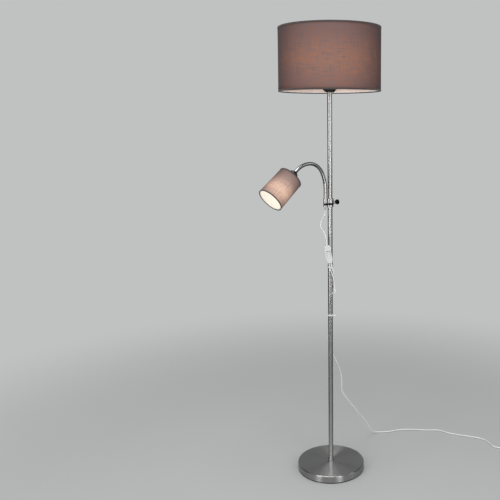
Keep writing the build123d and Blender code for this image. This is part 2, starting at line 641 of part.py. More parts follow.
def neck_bore(foot, seat):
    """The wireway through the whole neck."""
    path = Line(foot - Vector(0, 0, 1), ROOT_HINGE) + arc_run(RISE_CENTRE, NECK_RISE_RADIUS, 0, NECK_RISE_TURN)
    path = path + arc_run(CROWN_CENTRE, NECK_CROWN_RADIUS, NECK_RISE_TURN, 90)
    path = path + arc_run(FALL_CENTRE, NECK_FALL_RADIUS, 90, 90 + HEAD_DIP) + Line(FALL_END, seat + HEAD_AXIS)
    return sweep(Plane(origin=path @ 0, z_dir=path % 0) * Circle(NECK_BORE), path)


# ---------------------------------------------------------------- reading head
# It is modelled upright, its axis on Z: z = 0 is the plane of the shade's top, the opening is below.
HEAD = SWING * Pos(*HEAD_ORIGIN) * Rot(0, 90 - HEAD_DIP, 0)
READ_FLANGE_Z = -4.0
READ_CARRIER_Z = READ_FLANGE_Z - 2 - CENTRE_RING_THICKNESS


def reading_cap():
    seat = NECK_RADIUS + FIT
    wall = 1.6
    outer = READ_CAP_RADIUS
    shoulder = READ_CAP_TOP - READ_CAP_SHOULDER
    return turned((seat, READ_CAP_TOP), (READ_CAP_NECK, READ_CAP_TOP), (READ_CAP_NECK + 0.6, READ_CAP_TOP - 1),
                  (READ_CAP_NECK + 0.6, READ_CAP_TOP - 3), (outer - 1, shoulder), (outer, shoulder - 1),
                  (outer, READ_FLANGE_Z), (outer - wall, READ_FLANGE_Z), (outer - wall, READ_NECK_SEAT - 4),
                  (seat + 1.6, READ_NECK_SEAT - 1), (NECK_BORE, READ_NECK_SEAT - 1), (NECK_BORE, READ_NECK_SEAT),
                  (seat, READ_NECK_SEAT))


def reading_sleeve():
    bore = READ_SLEEVE_RADIUS - 1.3
    flange = tube(READ_FLANGE_RADIUS, bore, READ_FLANGE_Z - 2, READ_FLANGE_Z)
    return flange + tube(READ_SLEEVE_RADIUS, bore, READ_FLANGE_Z - 2 - READ_SLEEVE_LENGTH, READ_FLANGE_Z - 2)


def reading_insert():
    bore = READ_SLEEVE_RADIUS - 1.3
    high = READ_FLANGE_Z - 2
    body = rod(bore - FIT, high - 9, high)
    skirt = tube(bore - FIT, READ_BULB_CAP_RADIUS + 0.8, high - 26, high - 9)
    return body + skirt - Pos(-5, 0, 0) * rod(1.3, high - 9, high) - Pos(5, 0, 0) * rod(1.3, high - 9, high)


def reading_carrier():
    """Top ring of the reading shade with three arms to the flat ring on the holder."""
    ring_radius = wall_inside(READ_TOP_RADIUS) - READ_WIRE_RADIUS - 0.3
    clear = max(READ_NUT_RADIUS, READ_FLANGE_RADIUS) + GAP
    return carrier(READ_SLEEVE_RADIUS + FIT, READ_CARRIER_Z, clear, ring_radius, READ_CARRIER_Z + 3.2, READ_WIRE_RADIUS)


def build_reading_head():
    keep("reading_cap", HEAD * reading_cap())
    keep("reading_sleeve", HEAD * reading_sleeve())
    keep("reading_insert", HEAD * reading_insert())
    nut = ring_nut(READ_NUT_RADIUS, READ_SLEEVE_RADIUS + FIT, READ_CARRIER_Z - READ_NUT_HEIGHT, READ_CARRIER_Z,
                   READ_NUT_NOTCHES)
    keep("reading_ring_nut", HEAD * nut)
    cap_z = READ_FLANGE_Z - 2 - 9
    flip = Pos(0, 0, cap_z) * Rot(180, 0, 0)
    keep("reading_bulb_cap", HEAD * flip * bulb_cap(READ_BULB_CAP_RADIUS, READ_BULB_CAP_LENGTH))
    glass = Pos(0, 0, READ_BULB_CAP_LENGTH) * bulb_glass(READ_BULB_CAP_RADIUS, READ_BULB_RADIUS, READ_BULB_LENGTH)
    keep("reading_bulb_glass", HEAD * flip * glass)
    place = HEAD * Pos(0, 0, -READ_HEIGHT)
    fabric, liner, strips = shade_walls(READ_OPEN_RADIUS, READ_TOP_RADIUS, READ_HEIGHT, READ_BINDING_WIDTH)
    keep("reading_shade_fabric", place * fabric)
    keep("reading_shade_liner", place * liner)
    keep("reading_shade_bindings", *[place * strip for strip in strips])
    keep("reading_shade_carrier", HEAD * reading_carrier())
    ring_z = READ_BINDING_WIDTH - READ_WIRE_RADIUS
    ring_radius = wall_inside(READ_OPEN_RADIUS) - READ_WIRE_RADIUS - 0.3
    keep("reading_shade_open_ring", place * wire_ring(ring_radius, READ_WIRE_RADIUS, ring_z))


# ---------------------------------------------------------------- switch on the lead
# It is modelled upright about its own centre, with the front towards -Y.
SWITCH = Pos(*SWITCH_CENTRE) * Rot(0, SWITCH_LEAN, 0)
FRONT = -SWITCH_DEPTH / 2


def switch_outline(inset):
    """The housing's outline in its XZ plane, drawn in by a wall."""
    half, end = SWITCH_WIDTH / 2 - inset, SWITCH_END_WIDTH / 2 - inset
    tip, shoulder = SWITCH_LENGTH / 2 - inset, SWITCH_SHOULDER
    points = [(-half, -shoulder), (-end, -tip), (end, -tip), (half, -shoulder), (half, shoulder), (end, tip),
              (-end, tip), (-half, shoulder)]
    face = make_face(Polyline(*points, close=True))
    return fillet(face.vertices(), max(SWITCH_CORNER - inset, 0.5))


def switch_block(inset):
    """The housing's block, or its hollow if it is drawn in by a wall."""
    depth = SWITCH_DEPTH - 2 * inset
    return Plane.XZ * Pos(0, 0, -depth / 2) * extrude(switch_outline(inset), depth)


def rocker():
    """The rocker level, turned afterwards to its resting tilt."""
    half, low = ROCKER_LENGTH / 2, 3.2
    face = FRONT - ROCKER_PROUD
    pin = FRONT + ROCKER_PIVOT_DEPTH
    outline = Polyline((half, face), (0, face + 1.1), (-half, face), (-half, pin - low + 1), (-4, pin + low),
                       (4, pin + low), (half, pin - low + 1), close=True)
    side = make_face(outline)
    body = Plane(origin=(-ROCKER_WIDTH / 2, 0, 0), x_dir=(0, 0, -1), z_dir=(1, 0, 0)) * extrude(side, ROCKER_WIDTH)
    reach = SWITCH_WIDTH / 2 - SWITCH_WALL - 0.6
    return body + bar((-reach, pin, 0), (reach, pin, 0), ROCKER_PIN_RADIUS)


def rocker_window():
    """The window in the front that the rocker stands in."""
    return Pos(0, FRONT, 0) * Box(ROCKER_WIDTH + 2 * GAP, 6, ROCKER_LENGTH + 2 * ROCKER_GAP)


def front_shell(cut):
    shell = cut & Pos(0, FRONT / 2, 0) * Box(SWITCH_WIDTH + 2, SWITCH_DEPTH / 2, SWITCH_LENGTH + 2)
    shell = shell - rocker_window()
    pin = FRONT + ROCKER_PIVOT_DEPTH
    lug_x = ROCKER_WIDTH / 2 + GAP + ROCKER_LUG / 2
    for side in (-1, 1):
        lug = Pos(side * lug_x, (FRONT + pin + 2.4) / 2 + 0.5, 0) * Box(ROCKER_LUG, pin + 1.4 - FRONT, 6)
        shell = shell + lug
        end = side * SWITCH_SCREW_OFFSET
        boss = bar((0, FRONT + 1, end), (0, 0, end), SWITCH_BOSS_RADIUS)
        shell = shell + boss - bar((0, FRONT + 2, end), (0, 1, end), SWITCH_SCREW_RADIUS + FIT)
    reach = SWITCH_WIDTH
    return shell - bar((-reach, pin, 0), (reach, pin, 0), ROCKER_PIN_RADIUS + FIT) - switch_ports()


def back_shell(cut):
    shell = cut & Pos(0, -FRONT / 2, 0) * Box(SWITCH_WIDTH + 2, SWITCH_DEPTH / 2, SWITCH_LENGTH + 2)
    back = -FRONT
    for end in (-SWITCH_SCREW_OFFSET, SWITCH_SCREW_OFFSET):
        boss = bar((0, 0, end), (0, back - 1, end), SWITCH_BOSS_RADIUS)
        shell = shell + boss - bar((0, -1, end), (0, back + 1, end), SWITCH_SCREW_RADIUS + FIT)
        shell = shell - bar((0, back - 2, end), (0, back + 1, end), SWITCH_SCREW_HEAD + FIT)
    return shell - switch_ports()


def switch_ports():
    """The holes for the reading lead on top and for the two cords below."""
    tip = SWITCH_LENGTH / 2
    top = bar((0, 0, tip - 5), (0, 0, tip + 1), LEAD_RADIUS + CORD_PORT_GAP)
    mains = bar((PORT_OFFSET, 0, -tip - 1), (PORT_OFFSET, 0, 5 - tip), MAINS_RADIUS + CORD_PORT_GAP)
    lamp = bar((-PORT_OFFSET, 0, -tip - 1), (-PORT_OFFSET, 0, 5 - tip), LEAD_RADIUS + CORD_PORT_GAP)
    return top + mains + lamp


def switch_screw(end):
    back = -FRONT
    shank = bar((0, FRONT + 3, end), (0, back - 2, end), SWITCH_SCREW_RADIUS)
    head = bar((0, back - 2, end), (0, back - 0.4, end), SWITCH_SCREW_HEAD)
    slot = Pos(0, back - 0.4, end) * Box(0.7, 1.4, 4)
    return shank + head - slot


def contact(side):
    """A brass strip on the back shell's floor, with a spring finger towards the rocker."""
    floor_y = -FRONT - SWITCH_WALL
    strip = Pos(side * 4.6, floor_y - 0.4, 0) * Box(3, 0.8, 26)
    finger = Pos(side * 4.6, floor_y - 2.3, 11.6) * Box(3, 3.0, 0.8)
    return strip + finger


def build_switch():
    cut = switch_block(0)
    cut = fillet(cut.edges().filter_by(Plane.XZ), SWITCH_EDGE) - switch_block(SWITCH_WALL)
    keep("switch_front_shell", SWITCH * front_shell(cut))
    keep("switch_back_shell", SWITCH * back_shell(cut))
    pin = FRONT + ROCKER_PIVOT_DEPTH
    tilt = Pos(0, pin, 0) * Rot(ROCKER_TILT, 0, 0) * Pos(0, -pin, 0)
    keep("switch_rocker", SWITCH * tilt * rocker())
    keep("switch_screws", *[SWITCH * switch_screw(end) for end in (-SWITCH_SCREW_OFFSET, SWITCH_SCREW_OFFSET)])
    keep("switch_contacts", *[SWITCH * contact(side) for side in (-1, 1)])


# ---------------------------------------------------------------- cords
def switch_point(x, z):
    """A point of the switch's middle plane in the lamp's frame."""
    lean = math.radians(SWITCH_LEAN)
    return (SWITCH_CENTRE[0] + x * math.cos(lean) + z * math.sin(lean), SWITCH_CENTRE[1],
            SWITCH_CENTRE[2] - x * math.sin(lean) + z * math.cos(lean))


def polar(radius, angle, height):
    """A point beside the pole."""
    turn = math.radians(angle)
    return (radius * math.cos(turn), radius * math.sin(turn), height)


def route_radii(name, points):
    """One arc radius for each inner point of a route, printed for a check."""
    radii = []
    for before, here, after in zip(points, points[1:], points[2:]):
        a, b = Vector(*here) - Vector(*before), Vector(*after) - Vector(*here)
        half_turn = math.radians(a.get_angle(b)) / 2
        radii.append(ROUTE_SHARE * min(a.length, b.length) / math.tan(half_turn))
    runs = [(Vector(*q) - Vector(*p)).length for p, q in zip(points, points[1:])]
    print(name, "radii", [round(r, 1) for r in radii])
    print(name, "runs", [round(r, 1) for r in runs])
    return radii


def cord_tube(name, points, radius):
    """A cord along a route of straight runs joined by tangent arcs."""
    path = FilletPolyline(*points, radius=route_radii(name, points))
    solid = sweep(Plane(origin=path @ 0, z_dir=path % 0) * Circle(radius), path)
    print(name, "length", round(path.length, 1), "volume", round(solid.volume / (math.pi * radius ** 2 * path.length), 4))
    return solid


SWITCH_TOP = switch_point(0, SWITCH_LENGTH / 2 - PORT_DEPTH)
MAINS_PORT = switch_point(PORT_OFFSET, PORT_DEPTH - SWITCH_LENGTH / 2)
LAMP_PORT = switch_point(-PORT_OFFSET, PORT_DEPTH - SWITCH_LENGTH / 2)
ARM = math.radians(ARM_ANGLE)
LEAD_X, LEAD_Y = -FERRULE_OFFSET * math.cos(ARM), -FERRULE_OFFSET * math.sin(ARM)
LEAD_ABOVE = (-27.3, -14.3, 874.0)
LEAD_BELOW = (-32.5, -15.3, 863.0)
LEAD_MIDDLE = tuple((Vector(*LEAD_ABOVE) + Vector(*LEAD_BELOW)) * 0.5)    # where the lead's two lengths meet

LEAD_UPPER = [
    (LEAD_X, LEAD_Y, CLAMP_BOTTOM + 6),
    (LEAD_X, LEAD_Y, CLAMP_BOTTOM - RELIEF_LENGTH - 5),
    (-16.7, -12.9, 893.5),
    (-21.6, -13.4, 883.5),
    LEAD_ABOVE,
    LEAD_MIDDLE,
]
LEAD_LOWER = [
    LEAD_MIDDLE,
    LEAD_BELOW,
    (-32.6, -15.9, 853.5),
    (-27.8, -16.5, 844.5),
    (-21.2, -17.2, 835.5),
    (-16.6, -17.8, 824.5),
    (-13.2, -18.5, 812.0),
    switch_point(-0.1, SWITCH_LENGTH / 2 + 9),
    SWITCH_TOP,
]
LAMP_LEAD = [
    LAMP_PORT,
    switch_point(-PORT_OFFSET, -SWITCH_LENGTH / 2 - 4),
    (-2.4, -17.2, 715.0),
    (2.6, -14.8, 699.0),
    (9.4, -11.4, 681.0),
    (13.2, -6.6, 663.0),
    (14.4, -4.8, 646.0),
    (16.6, -5.8, 632.0),
    polar(17.6, GROMMET_ANGLE, GROMMET_Z),
    polar(GROMMET_REACH - 2, GROMMET_ANGLE, GROMMET_Z),
]
MAINS_ROUTE = [
    MAINS_PORT,
    switch_point(PORT_OFFSET, -SWITCH_LENGTH / 2 - 4),
    (5.4, -16.6, 714.0),
    (9.2, -12.2, 700.0),
    (13.2, -5.4, 684.0),
    (13.4, 3.2, 663.0),
    (10.2, 9.4, 640.0),
    (4.6, 12.9, 612.0),
    (0.4, 13.2, 580.0),
    (0.9, 12.2, 546.0),
    (-0.6, 12.8, 514.0),
    (-5.2, 12.6, 486.0),
    (-8.8, 10.9, 458.0),
    (-6.6, 12.4, 432.0),
    (1.0, 13.6, 411.0),
    (10.6, 14.6, 395.0),
    (19.2, 21.5, 374.0),
    (27.6, 36.0, 350.0),
    (35.8, 51.0, 318.0),
    (39.0, 63.0, 286.0),
    (37.2, 76.0, 258.0),
    (43.0, 92.0, 230.0),
    (66.0, 118.0, 190.0),
    (97.0, 154.0, 136.0),
    (124.0, 190.0, 89.0),
    (141.0, 217.0, 52.0),
    (151.5, 234.0, 29.0),
    (161.0, 247.5, 13.0),
    (172.0, 258.0, CORD_FLOOR + 1.8),
    (186.0, 263.5, CORD_FLOOR),
    (206.0, 262.5, CORD_FLOOR),
    (233.0, 268.0, CORD_FLOOR),
    (268.0, 283.0, CORD_FLOOR),
    (322.0, 283.5, CORD_FLOOR),
    (375.0, 276.0, CORD_FLOOR),
    (423.0, 279.0, CORD_FLOOR),
    (450.0, 252.0, CORD_FLOOR),
    (489.0, 236.0, CORD_FLOOR),
    (532.0, 221.0, CORD_FLOOR),
    (573.0, 205.0, CORD_FLOOR),
    (592.0, 174.0, CORD_FLOOR),
    (596.0, 153.0, CORD_FLOOR),
    (605.5, 135.0, CORD_FLOOR),
    (623.0, 127.0, CORD_FLOOR),
    (645.0, COIL_CENTRE[1] + COIL_OUTER, CORD_FLOOR),
    (COIL_CENTRE[0], COIL_CENTRE[1] + COIL_OUTER, CORD_FLOOR),
]


def coil_stations():
    """Centreline points and directions at every quarter turn of the coil, wound clockwise from +Y."""
    inward, outward = round(COIL_TURNS_IN * 4), round(COIL_TURNS_OUT * 4)
    climb = 2
    step = COIL_STEP / 4
    inner = COIL_OUTER - inward * step
    stations = []
    for k in range(inward + climb + outward + 1):
        if k <= inward:
            radius, height, rate = COIL_OUTER - k * step, 0.0, -step
        elif k < inward + climb:
            radius, height, rate = inner - COIL_DIP, COIL_STEP / 2, 0.0
        else:
            radius, height, rate = inner + (k - inward - climb) * step, COIL_STEP, step
        lift = COIL_STEP / climb if inward < k < inward + climb else 0.0
        if k in (inward, inward + climb):
            rate = 0.0
        if k == 0:
            rate = 0.0
        angle = math.pi / 2 * (1 - k)
        out = Vector(math.cos(angle), math.sin(angle), 0)
        along = Vector(math.sin(angle), -math.cos(angle), 0)
        place = Vector(COIL_CENTRE[0], COIL_CENTRE[1], CORD_FLOOR + height) + out * radius
        stations.append((place, (along * (radius * math.pi / 2) + out * rate + Vector(0, 0, lift)).normalized()))
    return stations


def biarc(start, start_way, end, end_way):
    """Two tangent arcs from one point and direction to another."""
    across = end - start
    ways = start_way + end_way
    a = 2 * (1 - start_way.dot(end_way))
    b = 2 * across.dot(ways)
    c = -across.dot(across)
    reach = (-b + math.sqrt(b * b - 4 * a * c)) / (2 * a) if a > 1e-9 else -c / b
    middle = (start + start_way * reach + end - end_way * reach) * 0.5
    first = Edge.make_tangent_arc(start, start_way, middle)
    return [first, Edge.make_tangent_arc(middle, first % 1, end)]


PLUG_X = COIL_CENTRE[0] + COIL_OUTER + 2.0
PLUG_BACK = COIL_CENTRE[1] - 34.0      # where the plug's strain relief starts
PLUG_Z = PLUG_THICKNESS / 2 + 0.2


def coil():
    """The put-away length as one unbroken tube: in, up a layer, out again and into the plug."""
    stations = coil_stations()
    edges = []
    for (start, start_way), (end, end_way) in zip(stations, stations[1:]):
        edges += biarc(start, start_way, end, end_way)
    last, last_way = stations[-1]
    plug_mouth = Vector(PLUG_X, PLUG_BACK, PLUG_Z)
    down = Vector(0, -1, 0)
    straight = plug_mouth - down * MAINS_RADIUS * 2
    edges += biarc(last, last_way, straight, down)
    edges.append(Edge.make_line(straight, plug_mouth))
    path = Wire(edges)
    lead_in = stations[0][0]
    solid = sweep(Plane(origin=lead_in, z_dir=stations[0][1]) * Circle(MAINS_RADIUS), path)
    print("coil length", round(path.length, 1), "volume",
          round(solid.volume / (math.pi * MAINS_RADIUS ** 2 * path.length), 4), "least gap", round(least_gap(path), 2))
    return solid


def least_gap(path):
    """The smallest gap of a wound tube to itself, measured on points along its centreline."""
    count = 420
    points = [path @ (i / count) for i in range(count + 1)]
    spacing = path.length / count
    apart = math.ceil(math.pi * 3 * MAINS_RADIUS / spacing)
    nearest = min((points[i] - points[j]).length for i in range(count + 1) for j in range(i + apart, count + 1))
    return nearest - 2 * MAINS_RADIUS


def coil_tie():
    """A strip tied round the coil's turns on its left side."""
    outer = COIL_OUTER - 0.75 * COIL_STEP
    inner = outer - (COIL_TURNS_IN - 1) * COIL_STEP
    half = (outer - inner) / 2 + MAINS_RADIUS + 2 * GAP + COIL_TIE_THICKNESS
    low = CORD_FLOOR - MAINS_RADIUS - GAP / 2 - COIL_TIE_THICKNESS
    height = COIL_STEP + 2 * MAINS_RADIUS + GAP + 2 * COIL_TIE_THICKNESS
    corner = MAINS_RADIUS - GAP
    ring = fillet(Rectangle(2 * half, height).vertices(), corner + COIL_TIE_THICKNESS)
    hole = Rectangle(2 * (half - COIL_TIE_THICKNESS), height - 2 * COIL_TIE_THICKNESS)
    hole = fillet(hole.vertices(), corner)
    band = Plane.XZ * Pos(0, 0, -COIL_TIE_WIDTH / 2) * extrude(ring - hole, COIL_TIE_WIDTH)
    middle = COIL_CENTRE[0] - (inner + outer) / 2
    return Pos(middle, COIL_CENTRE[1], low + height / 2) * band


def plug_body():
    """A flat two-pin plug lying on its broad side, its cord end towards +Y."""
    front = fillet(Rectangle(PLUG_WIDTH, PLUG_THICKNESS).vertices(), 4.0)
    waist = fillet(Rectangle(PLUG_WIDTH * 0.72, PLUG_THICKNESS * 0.9).vertices(), 4.0)
    neck = Circle(MAINS_RADIUS + 2.6)
    tip = Circle(MAINS_RADIUS + 1.0)
    length = PLUG_LENGTH
    body = extrude(front, length * 0.42)
    body = body + loft([Pos(0, 0, length * 0.42) * front, Pos(0, 0, length * 0.8) * waist, Pos(0, 0, length) * neck], ruled=True)
    body = body + loft([Pos(0, 0, length) * neck, Pos(0, 0, length + PLUG_RELIEF) * tip], ruled=True)
    body = body - Pos(0, 0, length + 4) * extrude(Circle(MAINS_RADIUS + CORD_PORT_GAP), PLUG_RELIEF)
    for side in (-1, 1):
        body = body - Pos(side * PIN_SPACING / 2, 0, -1) * extrude(Circle(PIN_RADIUS + FIT), 9)
    return body


def plug_pin(side):
    shank = Pos(side * PIN_SPACING / 2, 0, -PIN_LENGTH) * extrude(Circle(PIN_RADIUS), PIN_LENGTH + 8)
    return fillet(shank.edges().sort_by(Axis.Z)[0], 1.2)


def build_cords():
    keep("reading_lead_upper", cord_tube("reading_lead_upper", LEAD_UPPER, LEAD_RADIUS))
    keep("reading_lead_lower", cord_tube("reading_lead_lower", LEAD_LOWER, LEAD_RADIUS))
    keep("upper_lamp_lead", cord_tube("upper_lamp_lead", LAMP_LEAD, LEAD_RADIUS))
    keep("mains_cord", cord_tube("mains_cord", MAINS_ROUTE, MAINS_RADIUS))
    keep("mains_coil", coil())
    keep("coil_tie", coil_tie())
    plug = Plane(origin=(PLUG_X, PLUG_BACK + 8 - PLUG_LENGTH - PLUG_RELIEF - 4, PLUG_Z), x_dir=(1, 0, 0), z_dir=(0, 1, 0))
    keep("plug_body", plug * plug_body())
    keep("plug_pins", *[plug * plug_pin(side) for side in (-1, 1)])


# ---------------------------------------------------------------- cable ties
def tie_crossings(height):
    """Where the cords' centrelines cross one height beside the pole, with their radii."""
    found = []
    for route, radius in ((MAINS_ROUTE, MAINS_RADIUS), (LAMP_LEAD, LEAD_RADIUS)):
        for (x0, y0, z0), (x1, y1, z1) in zip(route, route[1:]):
            if z1 < height <= z0 and math.hypot(x0, y0) < 3 * POLE_RADIUS:
                share = (height - z0) / (z1 - z0)
                found.append((x0 + share * (x1 - x0), y0 + share * (y1 - y0), radius))
    return found


def cable_tie(height, tail_angle):
    """A strap round the pole and its cords, with its lock and the end that was pulled through."""
    slack = 0.7
    rounds = [(0, 0, POLE_RADIUS - slack + 0.3)] + tie_crossings(height)

    def loop(extra):
        with BuildSketch() as sketch:
            for x, y, radius in rounds:
                with Locations((x, y)):
                    Circle(radius + slack + extra)
            make_hull()
        return sketch.sketch

    low = height - TIE_HEIGHT / 2
    strap = extrude(loop(TIE_THICKNESS) - loop(0), TIE_HEIGHT)
    lock = Rot(0, 0, tail_angle) * Pos(POLE_RADIUS + 2.6, 0, TIE_HEIGHT / 2) * Box(3.6, 5.0, TIE_HEIGHT + 1.2)
    tail = Rot(0, 0, tail_angle) * Pos(POLE_RADIUS + 7.4, 1.2, TIE_HEIGHT / 2) * Box(7.5, TIE_THICKNESS, TIE_HEIGHT - 0.6)
    whole = strap + lock + tail - extrude(loop(0), TIE_HEIGHT * 3, both=True)
    return Pos(0, 0, low) * whole


def build_ties():
    keep("cable_ties", cable_tie(TIE_HEIGHTS[0], 20.0), cable_tie(TIE_HEIGHTS[1], -25.0))


os.makedirs("parts", exist_ok=True)
build_base()
build_pole()
build_holder()
build_shade()
build_clamp()
build_neck()
build_reading_head()
build_switch()
build_cords()
build_ties()
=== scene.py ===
import logging
import math
from collections.abc import Callable
from dataclasses import dataclass
from enum import Enum

import bmesh
import bpy
from mathutils import Matrix, Vector


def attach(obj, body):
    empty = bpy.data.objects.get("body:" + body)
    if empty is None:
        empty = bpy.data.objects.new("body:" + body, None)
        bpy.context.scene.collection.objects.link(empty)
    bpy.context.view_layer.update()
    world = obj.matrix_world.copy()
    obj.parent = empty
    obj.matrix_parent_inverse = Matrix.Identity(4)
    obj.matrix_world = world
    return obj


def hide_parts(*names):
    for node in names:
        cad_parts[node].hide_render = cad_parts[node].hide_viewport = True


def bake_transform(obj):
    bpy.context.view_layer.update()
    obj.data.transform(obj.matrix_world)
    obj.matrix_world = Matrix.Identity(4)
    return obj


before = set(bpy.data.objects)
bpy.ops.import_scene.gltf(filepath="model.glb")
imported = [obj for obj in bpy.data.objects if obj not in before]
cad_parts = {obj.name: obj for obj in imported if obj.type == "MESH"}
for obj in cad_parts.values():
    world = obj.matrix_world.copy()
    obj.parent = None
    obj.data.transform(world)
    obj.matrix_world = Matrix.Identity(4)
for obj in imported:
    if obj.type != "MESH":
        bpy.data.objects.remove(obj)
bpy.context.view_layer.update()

LOG = logging.getLogger("floor_lamp")
MM = 0.001                 # metres in a millimetre


# ------------------------------------------------------------------ camera
@dataclass(frozen=True)
class PhotoCamera:
    """The photograph's camera: place in metres, turns in degrees."""

    place: tuple = (0.0, -2.258, 1.196)
    pitch: float = 6.92
    roll: float = -0.22
    lens: float = 49.13
    sensor: float = 36.0
    shift_x: float = -0.1601
    shift_y: float = -0.09

    def build(self) -> bpy.types.Object:
        """Makes the camera and gives it to the scene.

        Returns:
            The camera object.
        """
        data = bpy.data.cameras.new("camera")
        data.lens = self.lens
        data.sensor_width = self.sensor
        data.shift_x = self.shift_x
        data.shift_y = self.shift_y
        camera = bpy.data.objects.new("camera", data)
        tip = Matrix.Rotation(math.radians(90.0 - self.pitch), 4, "X")
        lean = Matrix.Rotation(math.radians(self.roll), 4, "Z")
        camera.matrix_world = Matrix.Translation(self.place) @ tip @ lean
        bpy.context.scene.collection.objects.link(camera)
        bpy.context.scene.camera = camera
        return camera


# ------------------------------------------------------------------ node trees
def paint(red: float, green: float, blue: float) -> tuple:
    """Turns a display colour of 0 to 255 into a shader colour.

    Args:
        red, green, blue: the display values.

    Returns:
        A linear colour with an alpha of 1.
    """
    def linear(value: float) -> float:
        """One channel of the conversion."""
        share = value / 255.0
        return share / 12.92 if share <= 0.04045 else ((share + 0.055) / 1.055) ** 2.4

    return (linear(red), linear(green), linear(blue), 1.0)


def dim(colour: tuple, share: float) -> tuple:
    """Gives a darker form of a shader colour."""
    return tuple(channel * share for channel in colour[:3]) + (1.0,)


class Graph:
    """Places nodes in one tree and joins them."""

    def __init__(self, tree: bpy.types.NodeTree) -> None:
        """Keeps the tree that the nodes go into."""
        self.tree = tree

    def add(self, kind: str, feeds: dict | None = None, **settings) -> bpy.types.Node:
        """Adds one node.

        Args:
            kind: the node's type.
            feeds: for each input, a value, or an output socket to join to it.
            settings: the node's own properties.

        Returns:
            The new node.
        """
        node = self.tree.nodes.new(kind)
        for name, value in settings.items():
            setattr(node, name, value)
        for key, value in (feeds or {}).items():
            self.feed(node, key, value)
        return node

    def feed(self, node: bpy.types.Node, key: str | int, value: object) -> None:
        """Sets or joins one input of a node."""
        if isinstance(value, bpy.types.NodeSocket):
            self.tree.links.new(value, node.inputs[key])
        else:
            node.inputs[key].default_value = value

    def math(self, operation: str, *values: object) -> bpy.types.NodeSocket:
        """Adds a Math node and gives its result."""
        return self.add("ShaderNodeMath", dict(enumerate(values)), operation=operation).outputs[0]

    def vector(self, operation: str, *values: object) -> bpy.types.NodeSocket:
        """Adds a Vector Math node and gives its vector."""
        return self.add("ShaderNodeVectorMath", dict(enumerate(values)), operation=operation).outputs[0]

    def weigh(self, *shares: tuple) -> bpy.types.NodeSocket:
        """Adds up values, each of which comes with its weight."""
        total = self.math("MULTIPLY", *shares[0])
        for value, weight in shares[1:]:
            total = self.math("ADD", total, self.math("MULTIPLY", value, weight))
        return total

    def join(self, x: object, y: object, z: object) -> bpy.types.NodeSocket:
        """Makes a vector of three values."""
        return self.add("ShaderNodeCombineXYZ", {0: x, 1: y, 2: z}).outputs[0]

    def ramp(self, value: object, low: float, high: float) -> bpy.types.NodeSocket:
        """Maps a range smoothly to 0 and 1, and clamps what lies past it."""
        feeds = {"Value": value, "From Min": low, "From Max": high}
        return self.add("ShaderNodeMapRange", feeds, interpolation_type="SMOOTHSTEP").outputs[0]

    def span(self, share: object, low: object, high: object) -> bpy.types.NodeSocket:
        """Gives the value that lies a share of the way between two others."""
        feeds = {"Value": share, "To Min": low, "To Max": high}
        return self.add("ShaderNodeMapRange", feeds).outputs[0]

    def blend(self, share: object, first: object, second: object) -> bpy.types.NodeSocket:
        """Mixes two colours by a share."""
        return self.add("ShaderNodeMix", {0: share, 6: first, 7: second}, data_type="RGBA").outputs[2]

    def noise(self, vector: object, scale: object, detail: float = 2.0,
              rough: float = 0.5) -> bpy.types.NodeSocket:
        """Adds a Noise Texture and gives its value."""
        feeds = {"Vector": vector, "Scale": scale, "Detail": detail, "Roughness": rough}
        return self.add("ShaderNodeTexNoise", feeds).outputs[0]

    def bump(self, height: object, distance: float, strength: float = 1.0) -> bpy.types.NodeSocket:
        """Adds a Bump node and gives its normal."""
        feeds = {"Height": height, "Distance": distance, "Strength": strength}
        return self.add("ShaderNodeBump", feeds).outputs[0]


